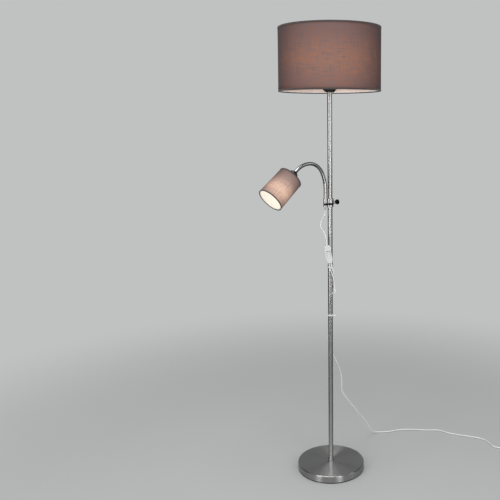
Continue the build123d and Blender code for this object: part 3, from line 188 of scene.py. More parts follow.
# ------------------------------------------------------------------ shared effects
class Effects:
    """Shader node groups that several finishes use, each built once."""

    # Uneven threads: noise per metre across and up the cloth, a seed, and the layer's weight.
    SLUBS = ((22.0, 260.0, 0.0, 0.34), (330.0, 26.0, 7.0, 0.3), (280.0, 300.0, 13.0, 0.2))

    def __init__(self) -> None:
        """Starts with no group built."""
        self._groups: dict[str, bpy.types.NodeTree] = {}

    def use(self, graph: Graph, name: str, feeds: dict) -> bpy.types.Node:
        """Places a group in a material.

        Args:
            graph: the material's node tree.
            name: the group's name, which is also the name of the method that builds it.
            feeds: values or sockets for the group's inputs.

        Returns:
            The group's node.
        """
        if name not in self._groups:
            self._groups[name] = getattr(self, name)()
        node = graph.add("ShaderNodeGroup", node_tree=self._groups[name])
        for key, value in feeds.items():
            graph.feed(node, key, value)
        return node

    @staticmethod
    def _group(name: str, takes: dict, gives: dict) -> tuple:
        """Makes an empty group.

        Args:
            name: the group's name.
            takes: input names with a float, vector or colour default.
            gives: output names with their socket types.

        Returns:
            The group's tree, its graph, its input node and its output node.
        """
        tree = bpy.data.node_groups.new(name, "ShaderNodeTree")
        for key, value in takes.items():
            size = len(value) if isinstance(value, tuple) else 1
            kind = {1: "NodeSocketFloat", 3: "NodeSocketVector", 4: "NodeSocketColor"}[size]
            tree.interface.new_socket(key, in_out="INPUT", socket_type=kind).default_value = value
        for key, kind in gives.items():
            tree.interface.new_socket(key, in_out="OUTPUT", socket_type=kind)
        graph = Graph(tree)
        return tree, graph, graph.add("NodeGroupInput"), graph.add("NodeGroupOutput")

    def brush_strokes(self) -> bpy.types.NodeTree:
        """Fine parallel strokes of a brushed metal, drawn by a stretched noise."""
        takes = {"Strokes": (0.0, 0.0, 0.0), "Place": (0.0, 0.0, 0.0), "Roughness": 0.3, "Spread": 0.06}
        gives = {"Tone": "NodeSocketFloat", "Roughness": "NodeSocketFloat", "Height": "NodeSocketFloat"}
        tree, graph, given, out = self._group("brush_strokes", takes, gives)
        fine = graph.noise(given.outputs["Strokes"], 1.0, 3.0, 0.6)
        broad = graph.noise(given.outputs["Place"], 14.0, 2.0, 0.5)
        tone = graph.weigh((fine, 0.7), (broad, 0.3))
        swing = graph.math("MULTIPLY", graph.math("SUBTRACT", tone, 0.5), 2.0)
        rough = graph.math("MULTIPLY_ADD", swing, given.outputs["Spread"], given.outputs["Roughness"])
        graph.feed(out, "Tone", tone)
        graph.feed(out, "Roughness", rough)
        graph.feed(out, "Height", fine)
        return tree

    def handling_marks(self) -> bpy.types.NodeTree:
        """Soft smudges from handling, as a value between a low and a high one."""
        takes = {"Place": (0.0, 0.0, 0.0), "Scale": 30.0, "Low": 0.0, "High": 1.0}
        tree, graph, given, out = self._group("handling_marks", takes, {"Value": "NodeSocketFloat"})
        place = graph.vector("MULTIPLY", given.outputs["Place"], graph.join(1.0, 1.0, 0.8))
        smudge = graph.noise(place, given.outputs["Scale"], 3.0)
        share = graph.ramp(smudge, 0.35, 0.68)
        graph.feed(out, "Value", graph.span(share, given.outputs["Low"], given.outputs["High"]))
        return tree

    def linen_weave(self) -> bpy.types.NodeTree:
        """A plain weave of slubby threads on the piece's own UV map, which is in metres."""
        takes = {"Threads": 1250.0, "Slub": 0.5, "Contrast": 1.0, "Thread Color": (0.2, 0.2, 0.2, 1.0),
                 "Gap Color": (0.1, 0.1, 0.1, 1.0)}
        gives = {"Color": "NodeSocketColor", "Height": "NodeSocketFloat", "Openness": "NodeSocketFloat"}
        tree, graph, given, out = self._group("linen_weave", takes, gives)
        chart = graph.add("ShaderNodeTexCoord").outputs["UV"]
        flat = graph.add("ShaderNodeSeparateXYZ", {0: chart})
        half_turns = graph.math("MULTIPLY", given.outputs["Threads"], math.pi)
        warp = graph.math("SINE", graph.math("MULTIPLY", flat.outputs[0], half_turns))
        weft = graph.math("SINE", graph.math("MULTIPLY", flat.outputs[1], half_turns))
        over = graph.ramp(graph.math("MULTIPLY", warp, weft), -0.25, 0.25)
        crown = graph.math("ABSOLUTE", warp)
        cross = graph.math("ABSOLUTE", weft)
        woven = graph.weigh((crown, over), (cross, graph.math("SUBTRACT", 1.0, over)))
        layers = []
        for lengthways, crossways, seed, weight in self.SLUBS:
            stretched = graph.join(graph.math("MULTIPLY", flat.outputs[0], lengthways),
                                   graph.math("MULTIPLY", flat.outputs[1], crossways), seed)
            layers.append((graph.noise(stretched, 1.0, 2.0, 0.55), weight))
        layers.append((graph.noise(chart, 26.0, 3.0, 0.55), 0.16))
        thick = graph.ramp(graph.weigh(*layers), 0.4, 0.6)
        shade = graph.math("MULTIPLY", graph.math("SUBTRACT", thick, 0.5), given.outputs["Slub"])
        tone = graph.math("ADD", graph.math("MULTIPLY_ADD", woven, 0.45, 0.3), shade)
        graph.feed(out, "Color", graph.blend(graph.ramp(tone, 0.0, 1.0), given.outputs["Gap Color"],
                                             given.outputs["Thread Color"]))
        graph.feed(out, "Height", graph.weigh((woven, 0.6), (thick, 0.4)))
        gaps = graph.math("SUBTRACT", 1.0, graph.math("MULTIPLY", woven, 0.3))
        thin = graph.math("SUBTRACT", 0.5, thick)
        uneven = graph.math("MULTIPLY_ADD", thin, given.outputs["Contrast"], 1.0)
        graph.feed(out, "Openness", graph.math("MULTIPLY", gaps, uneven))
        return tree

    def lamp_glow(self) -> bpy.types.NodeTree:
        """Light that comes through a shade: strongest across from the bulb, through the open places."""
        takes = {"Place": (0.0, 0.0, 0.0), "Bulb": (0.0, 0.0, 0.0), "Axis": (0.0, 0.0, 1.0), "Reach": 0.12,
                 "Floor": 0.5, "Openness": 1.0, "Near Color": (1.0, 0.8, 0.6, 1.0),
                 "Far Color": (0.5, 0.3, 0.2, 1.0)}
        tree, graph, given, out = self._group("lamp_glow", takes, {"Color": "NodeSocketColor"})
        away = graph.vector("SUBTRACT", given.outputs["Place"], given.outputs["Bulb"])
        feeds = {0: away, 1: given.outputs["Axis"]}
        along = graph.add("ShaderNodeVectorMath", feeds, operation="DOT_PRODUCT").outputs["Value"]
        steps = graph.math("DIVIDE", along, given.outputs["Reach"])
        fall = graph.math("DIVIDE", 1.0, graph.math("ADD", 1.0, graph.math("MULTIPLY", steps, steps)))
        tint = graph.blend(fall, given.outputs["Far Color"], given.outputs["Near Color"])
        share = graph.span(fall, given.outputs["Floor"], 1.0)
        power = graph.math("MULTIPLY", share, given.outputs["Openness"])
        graph.feed(out, "Color", graph.vector("MULTIPLY", tint, graph.join(power, power, power)))
        return tree

    def moulded_skin(self) -> bpy.types.NodeTree:
        """The fine grain and the slight cloudiness of moulded plastic or rubber."""
        takes = {"Place": (0.0, 0.0, 0.0), "Grain": 900.0, "Color": (0.8, 0.8, 0.8, 1.0), "Cloud": 0.06}
        gives = {"Color": "NodeSocketColor", "Height": "NodeSocketFloat", "Marks": "NodeSocketFloat"}
        tree, graph, given, out = self._group("moulded_skin", takes, gives)
        grain = graph.noise(given.outputs["Place"], given.outputs["Grain"], 2.0)
        cloud = graph.noise(given.outputs["Place"], 45.0, 3.0)
        feeds = {"Value": 0.72, "Color": given.outputs["Color"]}
        darker = graph.add("ShaderNodeHueSaturation", feeds).outputs[0]
        share = graph.math("MULTIPLY", graph.ramp(cloud, 0.3, 0.7), given.outputs["Cloud"])
        graph.feed(out, "Color", graph.blend(share, given.outputs["Color"], darker))
        graph.feed(out, "Height", grain)
        graph.feed(out, "Marks", cloud)
        return tree


EFFECTS = Effects()


# ------------------------------------------------------------------ finishes
class Grain(Enum):
    """Which way a metal was brushed."""

    AXIAL = "along the pole"
    TURNED = "round the axis"
    TUMBLED = "no direction"


# The frame brings materials with the names of the record's slots, so a finish is found here
# and never by its name.
BUILT: dict = {}


@dataclass(frozen=True)
class Finish:
    """What all finishes share: a name and one material, built at its first use."""

    name: str

    def material(self) -> bpy.types.Material:
        """Gives the finish's material.

        Returns:
            The material, which is built when it is first asked for.
        """
        if self not in BUILT:
            made = bpy.data.materials.new(self.name)
            made.use_nodes = True
            made.node_tree.nodes.clear()
            graph = Graph(made.node_tree)
            surface = graph.add("ShaderNodeBsdfPrincipled")
            graph.add("ShaderNodeOutputMaterial", {"Surface": surface.outputs[0]})
            self.dress(graph, surface)
            BUILT[self] = made
        return BUILT[self]

    def dress(self, graph: Graph, surface: bpy.types.Node) -> None:
        """Sets the surface shader. Each finish has its own."""
        raise NotImplementedError

    @staticmethod
    def place(graph: Graph) -> bpy.types.NodeSocket:
        """Gives the object coordinates, in metres."""
        return graph.add("ShaderNodeTexCoord").outputs["Object"]


@dataclass(frozen=True)
class SatinMetal(Finish):
    """Plated or bare metal with brush strokes and smudges.

    stretch draws its highlights out across the strokes, relief is the strokes' depth in metres, and
    the edge darkening is painted shade, a painted reflection of dark walls towards a tube's edges.
    """

    colour: tuple = (0.6, 0.6, 0.6, 1.0)
    roughness: float = 0.3
    grain: Grain = Grain.AXIAL
    stretch: float = 0.0
    relief: float = 0.00001
    painted_rim_shade: float = 0.0

    def strokes(self, graph: Graph, place: bpy.types.NodeSocket) -> bpy.types.NodeSocket:
        """Gives the coordinates that draw the strokes.

        Args:
            graph: the material's node tree.
            place: the object coordinates.

        Returns:
            Coordinates that change fast across a stroke and slowly along it.
        """
        if self.grain is Grain.TURNED:
            parts = graph.add("ShaderNodeSeparateXYZ", {0: place})
            flat = graph.join(parts.outputs[0], parts.outputs[1], 0.0)
            ring = graph.add("ShaderNodeVectorMath", {0: flat}, operation="LENGTH").outputs["Value"]
            drift = graph.math("MULTIPLY", graph.noise(flat, 9.0, 1.0), 3.0)
            height = graph.math("MULTIPLY", parts.outputs[2], 1500.0)
            return graph.join(graph.math("MULTIPLY", ring, 1500.0), drift, height)
        across, along = (1400.0, 16.0) if self.grain is Grain.AXIAL else (500.0, 500.0)
        return graph.vector("MULTIPLY", place, graph.join(across, across, along))

    def dress(self, graph: Graph, surface: bpy.types.Node) -> None:
        """Sets colour, roughness and relief from strokes and handling marks."""
        place = self.place(graph)
        brushed = EFFECTS.use(graph, "brush_strokes", {
            "Strokes": self.strokes(graph, place), "Place": place, "Roughness": self.roughness})
        marks = EFFECTS.use(graph, "handling_marks", {
            "Place": place, "Scale": 24.0, "Low": -0.02, "High": 0.05})
        colour = graph.blend(brushed.outputs["Tone"], dim(self.colour, 0.82), self.colour)
        # Painted shade: the base colour darkens where the surface turns from the eye, a painted reflection of
        # dark walls.
        if self.painted_rim_shade:
            painted_rim_shade_share = graph.ramp(graph.add("ShaderNodeLayerWeight").outputs["Facing"], 0.03, 0.38)
            colour = graph.blend(painted_rim_shade_share, colour, dim(self.colour, 1.0 - self.painted_rim_shade))
        rough = graph.math("ADD", brushed.outputs["Roughness"], marks.outputs["Value"])
        graph.feed(surface, "Base Color", colour)
        graph.feed(surface, "Metallic", 1.0)
        graph.feed(surface, "Roughness", rough)
        graph.feed(surface, "Normal", graph.bump(brushed.outputs["Height"], self.relief))
        if self.stretch:
            graph.feed(surface, "Anisotropic", self.stretch)
            graph.feed(surface, "Anisotropic Rotation", 0.25)
            tangent = graph.add("ShaderNodeTangent", direction_type="RADIAL", axis="Z")
            graph.feed(surface, "Tangent", tangent.outputs[0])


@dataclass(frozen=True)
class ShadeBandMetal(SatinMetal):
    """Plated metal with a black band of painted shade between two heights, where the clamp's bridge falls in
    shadow.
    """

    low: float = 0.0
    high: float = 0.01
    edge: float = 0.0004
    painted_shade_black: tuple = paint(16, 16, 17)

    def dress(self, graph: Graph, surface: bpy.types.Node) -> None:
        """Sets the metal, and lays the band of painted shade over it."""
        super().dress(graph, surface)
        height = graph.add("ShaderNodeSeparateXYZ", {0: self.place(graph)}).outputs[2]
        # Painted shade: a black band with soft edges between the two heights, in place of the shadowed
        # bridge.
        ring = graph.math("MULTIPLY", graph.ramp(height, self.low, self.low + self.edge),
                          graph.ramp(height, self.high, self.high - self.edge))
        plated = surface.inputs["Base Color"].links[0].from_socket
        graph.feed(surface, "Base Color", graph.blend(ring, plated, self.painted_shade_black))
        graph.feed(surface, "Metallic", graph.math("SUBTRACT", 1.0, ring))


@dataclass(frozen=True)
class MouldedPlastic(Finish):
    """Moulded plastic, solid or translucent."""

    colour: tuple = (0.8, 0.8, 0.8, 1.0)
    roughness: float = 0.35
    coat: float = 0.0
    clear: float = 0.0
    grain: float = 900.0
    relief: float = 0.00002

    def dress(self, graph: Graph, surface: bpy.types.Node) -> None:
        """Sets colour, gloss and clearness."""
        place = self.place(graph)
        skin = EFFECTS.use(graph, "moulded_skin", {
            "Place": place, "Grain": self.grain, "Color": self.colour})
        marks = EFFECTS.use(graph, "handling_marks", {
            "Place": place, "Scale": 60.0, "Low": self.roughness - 0.04, "High": self.roughness + 0.07})
        graph.feed(surface, "Base Color", skin.outputs["Color"])
        graph.feed(surface, "Roughness", marks.outputs["Value"])
        graph.feed(surface, "Normal", graph.bump(skin.outputs["Height"], self.relief))
        graph.feed(surface, "Coat Weight", self.coat)
        graph.feed(surface, "Coat Roughness", 0.12)
        graph.feed(surface, "Transmission Weight", self.clear)
        graph.feed(surface, "IOR", 1.49)


@dataclass(frozen=True)
class ShadeCloth(Finish):
    """Slubby linen of a shade, with the lamp's light coming through.

    The light is strongest level with the bulb, near, and falls off along the axis over reach metres
    to a share of floor, with the colour far. depth tints a coat that darkens the cloth where it turns
    away from the eye.
    """

    thread: tuple = (0.2, 0.2, 0.2, 1.0)
    gap: tuple = (0.1, 0.1, 0.1, 1.0)
    bulb: tuple = (0.0, 0.0, 0.0)
    axis: tuple = (0.0, 0.0, 1.0)
    reach: float = 0.12
    floor: float = 0.5
    near: tuple = (1.0, 0.8, 0.6, 1.0)
    far: tuple = (0.5, 0.3, 0.2, 1.0)
    power: float = 0.0
    depth: tuple = (1.0, 1.0, 1.0, 1.0)
    slub: float = 0.55
    contrast: float = 1.1

    def dress(self, graph: Graph, surface: bpy.types.Node) -> None:
        """Sets weave, fuzz and glow."""
        weave = EFFECTS.use(graph, "linen_weave", {"Slub": self.slub, "Contrast": self.contrast,
                                                   "Thread Color": self.thread, "Gap Color": self.gap})
        graph.feed(surface, "Base Color", weave.outputs["Color"])
        graph.feed(surface, "Roughness", 0.92)
        graph.feed(surface, "Sheen Weight", 0.12)
        graph.feed(surface, "Sheen Roughness", 0.55)
        graph.feed(surface, "Coat Weight", 1.0)
        graph.feed(surface, "Coat Roughness", 0.9)
        graph.feed(surface, "Coat IOR", 1.06)
        graph.feed(surface, "Coat Tint", self.depth)
        graph.feed(surface, "Normal", graph.bump(weave.outputs["Height"], 0.0002, 0.8))
        if self.power:
            glow = EFFECTS.use(graph, "lamp_glow", {
                "Place": self.place(graph), "Bulb": self.bulb, "Axis": self.axis, "Reach": self.reach,
                "Floor": self.floor, "Openness": weave.outputs["Openness"], "Near Color": self.near,
                "Far Color": self.far})
            graph.feed(surface, "Emission Color", glow.outputs["Color"])
            graph.feed(surface, "Emission Strength", self.power)


@dataclass(frozen=True)
class LitSurface(Finish):
    """A pale surface that is lit by the lamp's own bulb: a lining or a bulb."""

    colour: tuple = (0.9, 0.9, 0.9, 1.0)
    roughness: float = 0.6
    bulb: tuple = (0.0, 0.0, 0.0)
    axis: tuple = (0.0, 0.0, 1.0)
    reach: float = 0.12
    floor: float = 0.6
    near: tuple = (1.0, 0.8, 0.6, 1.0)
    far: tuple = (0.5, 0.3, 0.2, 1.0)
    power: float = 0.5

    def dress(self, graph: Graph, surface: bpy.types.Node) -> None:
        """Sets a slightly cloudy skin and the light on it."""
        place = self.place(graph)
        skin = EFFECTS.use(graph, "moulded_skin", {
            "Place": place, "Grain": 700.0, "Color": self.colour, "Cloud": 0.12})
        cloudy = graph.math("MULTIPLY_ADD", skin.outputs["Marks"], 0.1, 0.95)
        glow = EFFECTS.use(graph, "lamp_glow", {
            "Place": place, "Bulb": self.bulb, "Axis": self.axis, "Reach": self.reach, "Floor": self.floor,
            "Openness": cloudy, "Near Color": self.near, "Far Color": self.far})
        graph.feed(surface, "Base Color", skin.outputs["Color"])
        graph.feed(surface, "Roughness", self.roughness)
        graph.feed(surface, "Normal", graph.bump(skin.outputs["Height"], 0.00003))
        graph.feed(surface, "Emission Color", glow.outputs["Color"])
        graph.feed(surface, "Emission Strength", self.power)


@dataclass(frozen=True)
class ClearSheath(Finish):
    """Clear cord sheath over two light wires, on the cord's own UV map."""

    sheath: tuple = (0.85, 0.85, 0.83, 1.0)
    wire: tuple = (0.6, 0.6, 0.58, 1.0)

    def dress(self, graph: Graph, surface: bpy.types.Node) -> None:
        """Sets the two wires' stripes under a glossy sheath."""
        flat = graph.add("ShaderNodeTexCoord").outputs["UV"]
        chart = graph.add("ShaderNodeSeparateXYZ", {0: flat})
        turns = graph.math("MULTIPLY", chart.outputs[1], math.pi * 4.0)
        stripe = graph.ramp(graph.math("SINE", turns), -0.2, 0.9)
        cloud = graph.noise(self.place(graph), 120.0, 2.0)
        share = graph.math("MULTIPLY", stripe, graph.math("MULTIPLY_ADD", cloud, 0.5, 0.5))
        graph.feed(surface, "Base Color", graph.blend(share, self.sheath, self.wire))
        graph.feed(surface, "Roughness", graph.math("MULTIPLY_ADD", cloud, 0.12, 0.2))
        graph.feed(surface, "Coat Weight", 0.6)
        graph.feed(surface, "Coat Roughness", 0.08)
        graph.feed(surface, "Normal", graph.bump(cloud, 0.00005))


# ------------------------------------------------------------------ finishes of this lamp
UPRIGHT = (0.0, 0.0, 1.0)
ARM_SWING = 40.0           # degrees about the pole, from the left towards the camera
HEAD_DIP = 40.0            # degrees below the level
MAIN_FOOT = 1.295          # height of the main shade's lower edge
READING_HEIGHT = 0.105
MAIN_BULB = (0.0, 0.0, 1.385)
HEAD_AXIS = (-0.5868, -0.4924, -0.6428)
HEAD_ORIGIN = (-0.12438, -0.10436, 1.02298)
READING_BULB = tuple(o + a * 0.07 for o, a in zip(HEAD_ORIGIN, HEAD_AXIS))

# The pole's and the neck's nickel carry painted shade at their edges, a painted reflection of dark walls.
POLE_NICKEL = SatinMetal("pole_nickel", paint(226, 225, 224), 0.27, Grain.AXIAL, painted_rim_shade=0.36)
TURNED_NICKEL = SatinMetal("turned_nickel", paint(206, 205, 204), 0.3, Grain.TURNED, 0.95)
CAST_NICKEL = SatinMetal("cast_nickel", paint(236, 235, 234), 0.22, Grain.TUMBLED)
# The clamp's nickel carries a black band of painted shade between 0.922 m and 0.93 m.
SHADE_BANDED_CLAMP_NICKEL = ShadeBandMetal("clamp_nickel", paint(236, 235, 234), 0.22, Grain.TUMBLED, low=0.922,
                           high=0.93)
KNOB_NICKEL = SatinMetal("knob_nickel", paint(26, 26, 27), 0.34, Grain.TUMBLED)
NECK_NICKEL = SatinMetal("neck_nickel", paint(250, 249, 248), 0.2, Grain.TUMBLED, painted_rim_shade=0.9)
PLATED_STEEL = SatinMetal("plated_steel", paint(188, 192, 196), 0.36, Grain.TUMBLED)
SHEET_BRASS = SatinMetal("sheet_brass", paint(206, 170, 96), 0.32, Grain.TUMBLED)
ROLLED_CAP = SatinMetal("rolled_cap", paint(200, 200, 200), 0.3, Grain.TURNED)
CAST_IRON = SatinMetal("cast_iron", paint(84, 84, 84), 0.62, Grain.TUMBLED, 0.0, 0.0003)
BLACK_MOULDING = MouldedPlastic("black_moulding", paint(17, 17, 18), 0.42, 0.1)
WHITE_MOULDING = MouldedPlastic("white_moulding", paint(232, 230, 224), 0.42)
WHITE_ENAMEL = MouldedPlastic("white_enamel", paint(236, 233, 226), 0.25, 0.4, 0.0, 500.0)
CLEAR_MOULDING = MouldedPlastic("clear_moulding", paint(228, 230, 229), 0.2, 0.5, 0.35)
SWITCH_MOULDING = MouldedPlastic("switch_moulding", paint(242, 243, 242), 0.24, 0.5, 0.1)
FOAM_PAD = MouldedPlastic("foam_pad", paint(18, 18, 19), 0.9, 0.0, 0.0, 1500.0, 0.0002)
CORD_SHEATH = ClearSheath("cord_sheath", paint(248, 248, 246), paint(216, 215, 212))
LINEN_THREAD = paint(148, 142, 145)
LINEN_GAP = paint(86, 79, 80)
MAIN_CLOTH = ShadeCloth(
    "main_cloth", LINEN_THREAD, LINEN_GAP, MAIN_BULB, UPRIGHT, reach=0.1, floor=0.34,
    near=(1.0, 0.47, 0.26, 1.0), far=(0.82, 0.48, 0.42, 1.0), power=0.92,
    depth=(0.33, 0.31, 0.33, 1.0), slub=1.3, contrast=0.85)
READING_CLOTH = ShadeCloth(
    "reading_cloth", LINEN_THREAD, LINEN_GAP, READING_BULB, HEAD_AXIS, reach=0.036, floor=0.04,
    near=(1.0, 0.7, 0.5, 1.0), far=(0.8, 0.52, 0.44, 1.0), power=2.1,
    depth=(0.46, 0.43, 0.43, 1.0), slub=0.6, contrast=0.55)
TAPE_CLOTH = ShadeCloth("tape_cloth", paint(92, 82, 79), paint(52, 45, 43), slub=0.4)
MAIN_LINING = LitSurface(
    "main_lining", paint(200, 183, 175), 0.6, MAIN_BULB, UPRIGHT, reach=0.12, floor=0.6,
    near=(1.0, 0.72, 0.64, 1.0), far=(1.0, 0.58, 0.52, 1.0), power=0.17)
READING_LINING = LitSurface(
    "reading_lining", paint(160, 154, 146), 0.6, READING_BULB, HEAD_AXIS, reach=0.07, floor=0.7,
    near=(1.0, 0.93, 0.82, 1.0), far=(1.0, 0.85, 0.72, 1.0), power=0.66)
MAIN_BULB_GLASS = LitSurface(
    "main_bulb_glass", paint(240, 236, 228), 0.3, MAIN_BULB, UPRIGHT, reach=0.1, floor=0.8,
    near=(1.0, 0.92, 0.8, 1.0), far=(1.0, 0.86, 0.72, 1.0), power=0.9)
READING_BULB_GLASS = LitSurface(
    "reading_bulb_glass", paint(240, 236, 228), 0.3, READING_BULB, HEAD_AXIS, reach=0.1, floor=0.8,
    near=(1.0, 0.94, 0.84, 1.0), far=(1.0, 0.88, 0.76, 1.0), power=0.85)

NODE_FINISHES = {
    POLE_NICKEL: ("pole_lower", "pole_middle", "pole_upper", "pole_top_bush", "pole_foot_collar"),
    TURNED_NICKEL: ("base_cover",),
    SHADE_BANDED_CLAMP_NICKEL: ("clamp_body",),
    CAST_NICKEL: ("clamp_liner", "plug_pins"),
    KNOB_NICKEL: ("clamp_knob",),
    PLATED_STEEL: ("base_nipple", "base_nut", "base_washer", "clamp_screw", "pole_couplers", "switch_screws"),
    CAST_IRON: ("base_weight",),
    SHEET_BRASS: ("holder_screw_shell", "switch_contacts"),
    ROLLED_CAP: ("bulb_cap", "reading_bulb_cap"),
    FOAM_PAD: ("base_pad",),
    BLACK_MOULDING: ("holder_cap", "holder_ring_nut", "holder_sleeve", "reading_cap"),
    WHITE_MOULDING: ("holder_insert", "reading_insert", "reading_ring_nut", "reading_sleeve"),
    WHITE_ENAMEL: ("shade_carrier", "shade_top_ring", "reading_shade_carrier", "reading_shade_open_ring"),
    CLEAR_MOULDING: ("coil_tie", "lead_strain_relief", "pole_grommet"),
    SWITCH_MOULDING: ("cable_ties", "switch_front_shell", "switch_back_shell", "switch_rocker",
                      "plug_body"),
    CORD_SHEATH: ("pole_feed_wire",),
    MAIN_LINING: ("shade_liner",),
    READING_LINING: ("reading_shade_liner",),
    MAIN_BULB_GLASS: ("bulb_glass",),
    READING_BULB_GLASS: ("reading_bulb_glass",),
}


# ------------------------------------------------------------------ mesh helpers
WELD = 1e-6


def roll_tube(around: int, along: int, shape: Callable[[float, float], Vector],
              chart: tuple) -> bmesh.types.BMesh:
    """Rolls a flat grid into a tube and welds its seam.

    Args:
        around: how many faces go round.
        along: how many faces go along.
        shape: gives the point of a turn and a rise, both from 0 to 1.
        chart: the size in metres of the rolled sheet, for its UV map.

    Returns:
        The tube's mesh, with faces that point outwards.
    """
    mesh = bmesh.new()
    bmesh.ops.create_grid(mesh, x_segments=around, y_segments=along, size=0.5, calc_uvs=True)
    flat = mesh.loops.layers.uv.active or mesh.loops.layers.uv.new("UVMap")
    for face in mesh.faces:
        for loop in face.loops:
            spot = loop.vert.co
            loop[flat].uv = ((spot.x + 0.5) * chart[0], (spot.y + 0.5) * chart[1])
    for vertex in mesh.verts:
        vertex.co = shape(vertex.co.x + 0.5, vertex.co.y + 0.5)
    bmesh.ops.remove_doubles(mesh, verts=mesh.verts, dist=WELD)
    bmesh.ops.recalc_face_normals(mesh, faces=mesh.faces)
    return mesh


def add_piece(name: str, mesh: bmesh.types.BMesh, finish: Finish,
              crease: float = 40.0) -> bpy.types.Object:
    """Turns a finished mesh into a piece in the scene.

    Args:
        name: the piece's name.
        mesh: its mesh, which is used up.
        finish: its finish.
        crease: edges sharper than this, in degrees, stay sharp.

    Returns:
        The piece's object, at the origin.
    """
    data = bpy.data.meshes.new(name)
    mesh.to_mesh(data)
    mesh.free()
    data.shade_smooth()
    data.set_sharp_from_angle(angle=math.radians(crease))
    data.materials.append(finish.material())
    piece = bpy.data.objects.new(name, data)
    bpy.context.scene.collection.objects.link(piece)
    LOG.info("piece %s: %d faces", name, len(data.polygons))
    return piece


def thicken(piece: bpy.types.Object, wall: float, offset: float = -1.0) -> None:
    """Gives a sheet its thickness, inwards unless offset says otherwise."""
    solid = piece.modifiers.new("wall", "SOLIDIFY")
    solid.thickness = wall
    solid.offset = offset
    solid.use_even_offset = True


# ------------------------------------------------------------------ cords
@dataclass
class PutAwayCoil:
    """The coil of the mains cord: two turns in, up a layer, and out again. Metres."""

    centre: tuple = (0.668, 0.092)
    outer: float = 0.0335
    step: float = 0.0058
    floor: float = 0.0032
    dip: float = 0.0009
    quarters_in: int = 8
    quarters_up: int = 2
    quarters_out: int = 7
    points_a_quarter: int = 4
    swell: float = 1.0194

    def points(self) -> list[tuple]:
        """Gives the turns' control points, from the top of the outer turn, clockwise.

        Returns:
            Points in metres, set out a little to allow for the spline's cutting inside them.
        """
        rate = self.step / 4.0
        inner = self.outer - self.quarters_in * rate
        last = self.quarters_in + self.quarters_up + self.quarters_out
        found = []
        for index in range(1, last * self.points_a_quarter + 1):
            turn = index / self.points_a_quarter
            climb = min(max((turn - self.quarters_in) / self.quarters_up, 0.0), 1.0)
            if turn <= self.quarters_in:
                radius = self.outer - turn * rate
            elif climb < 1.0:
                radius = inner - self.dip * math.sin(math.pi * climb)
            else:
                radius = inner + (turn - self.quarters_in - self.quarters_up) * rate
            lift = self.step * (0.5 - 0.5 * math.cos(math.pi * climb))
            angle = math.pi / 2.0 * (1.0 - turn)
            found.append((self.centre[0] + radius * self.swell * math.cos(angle),
                          self.centre[1] + radius * self.swell * math.sin(angle), self.floor + lift))
        return found


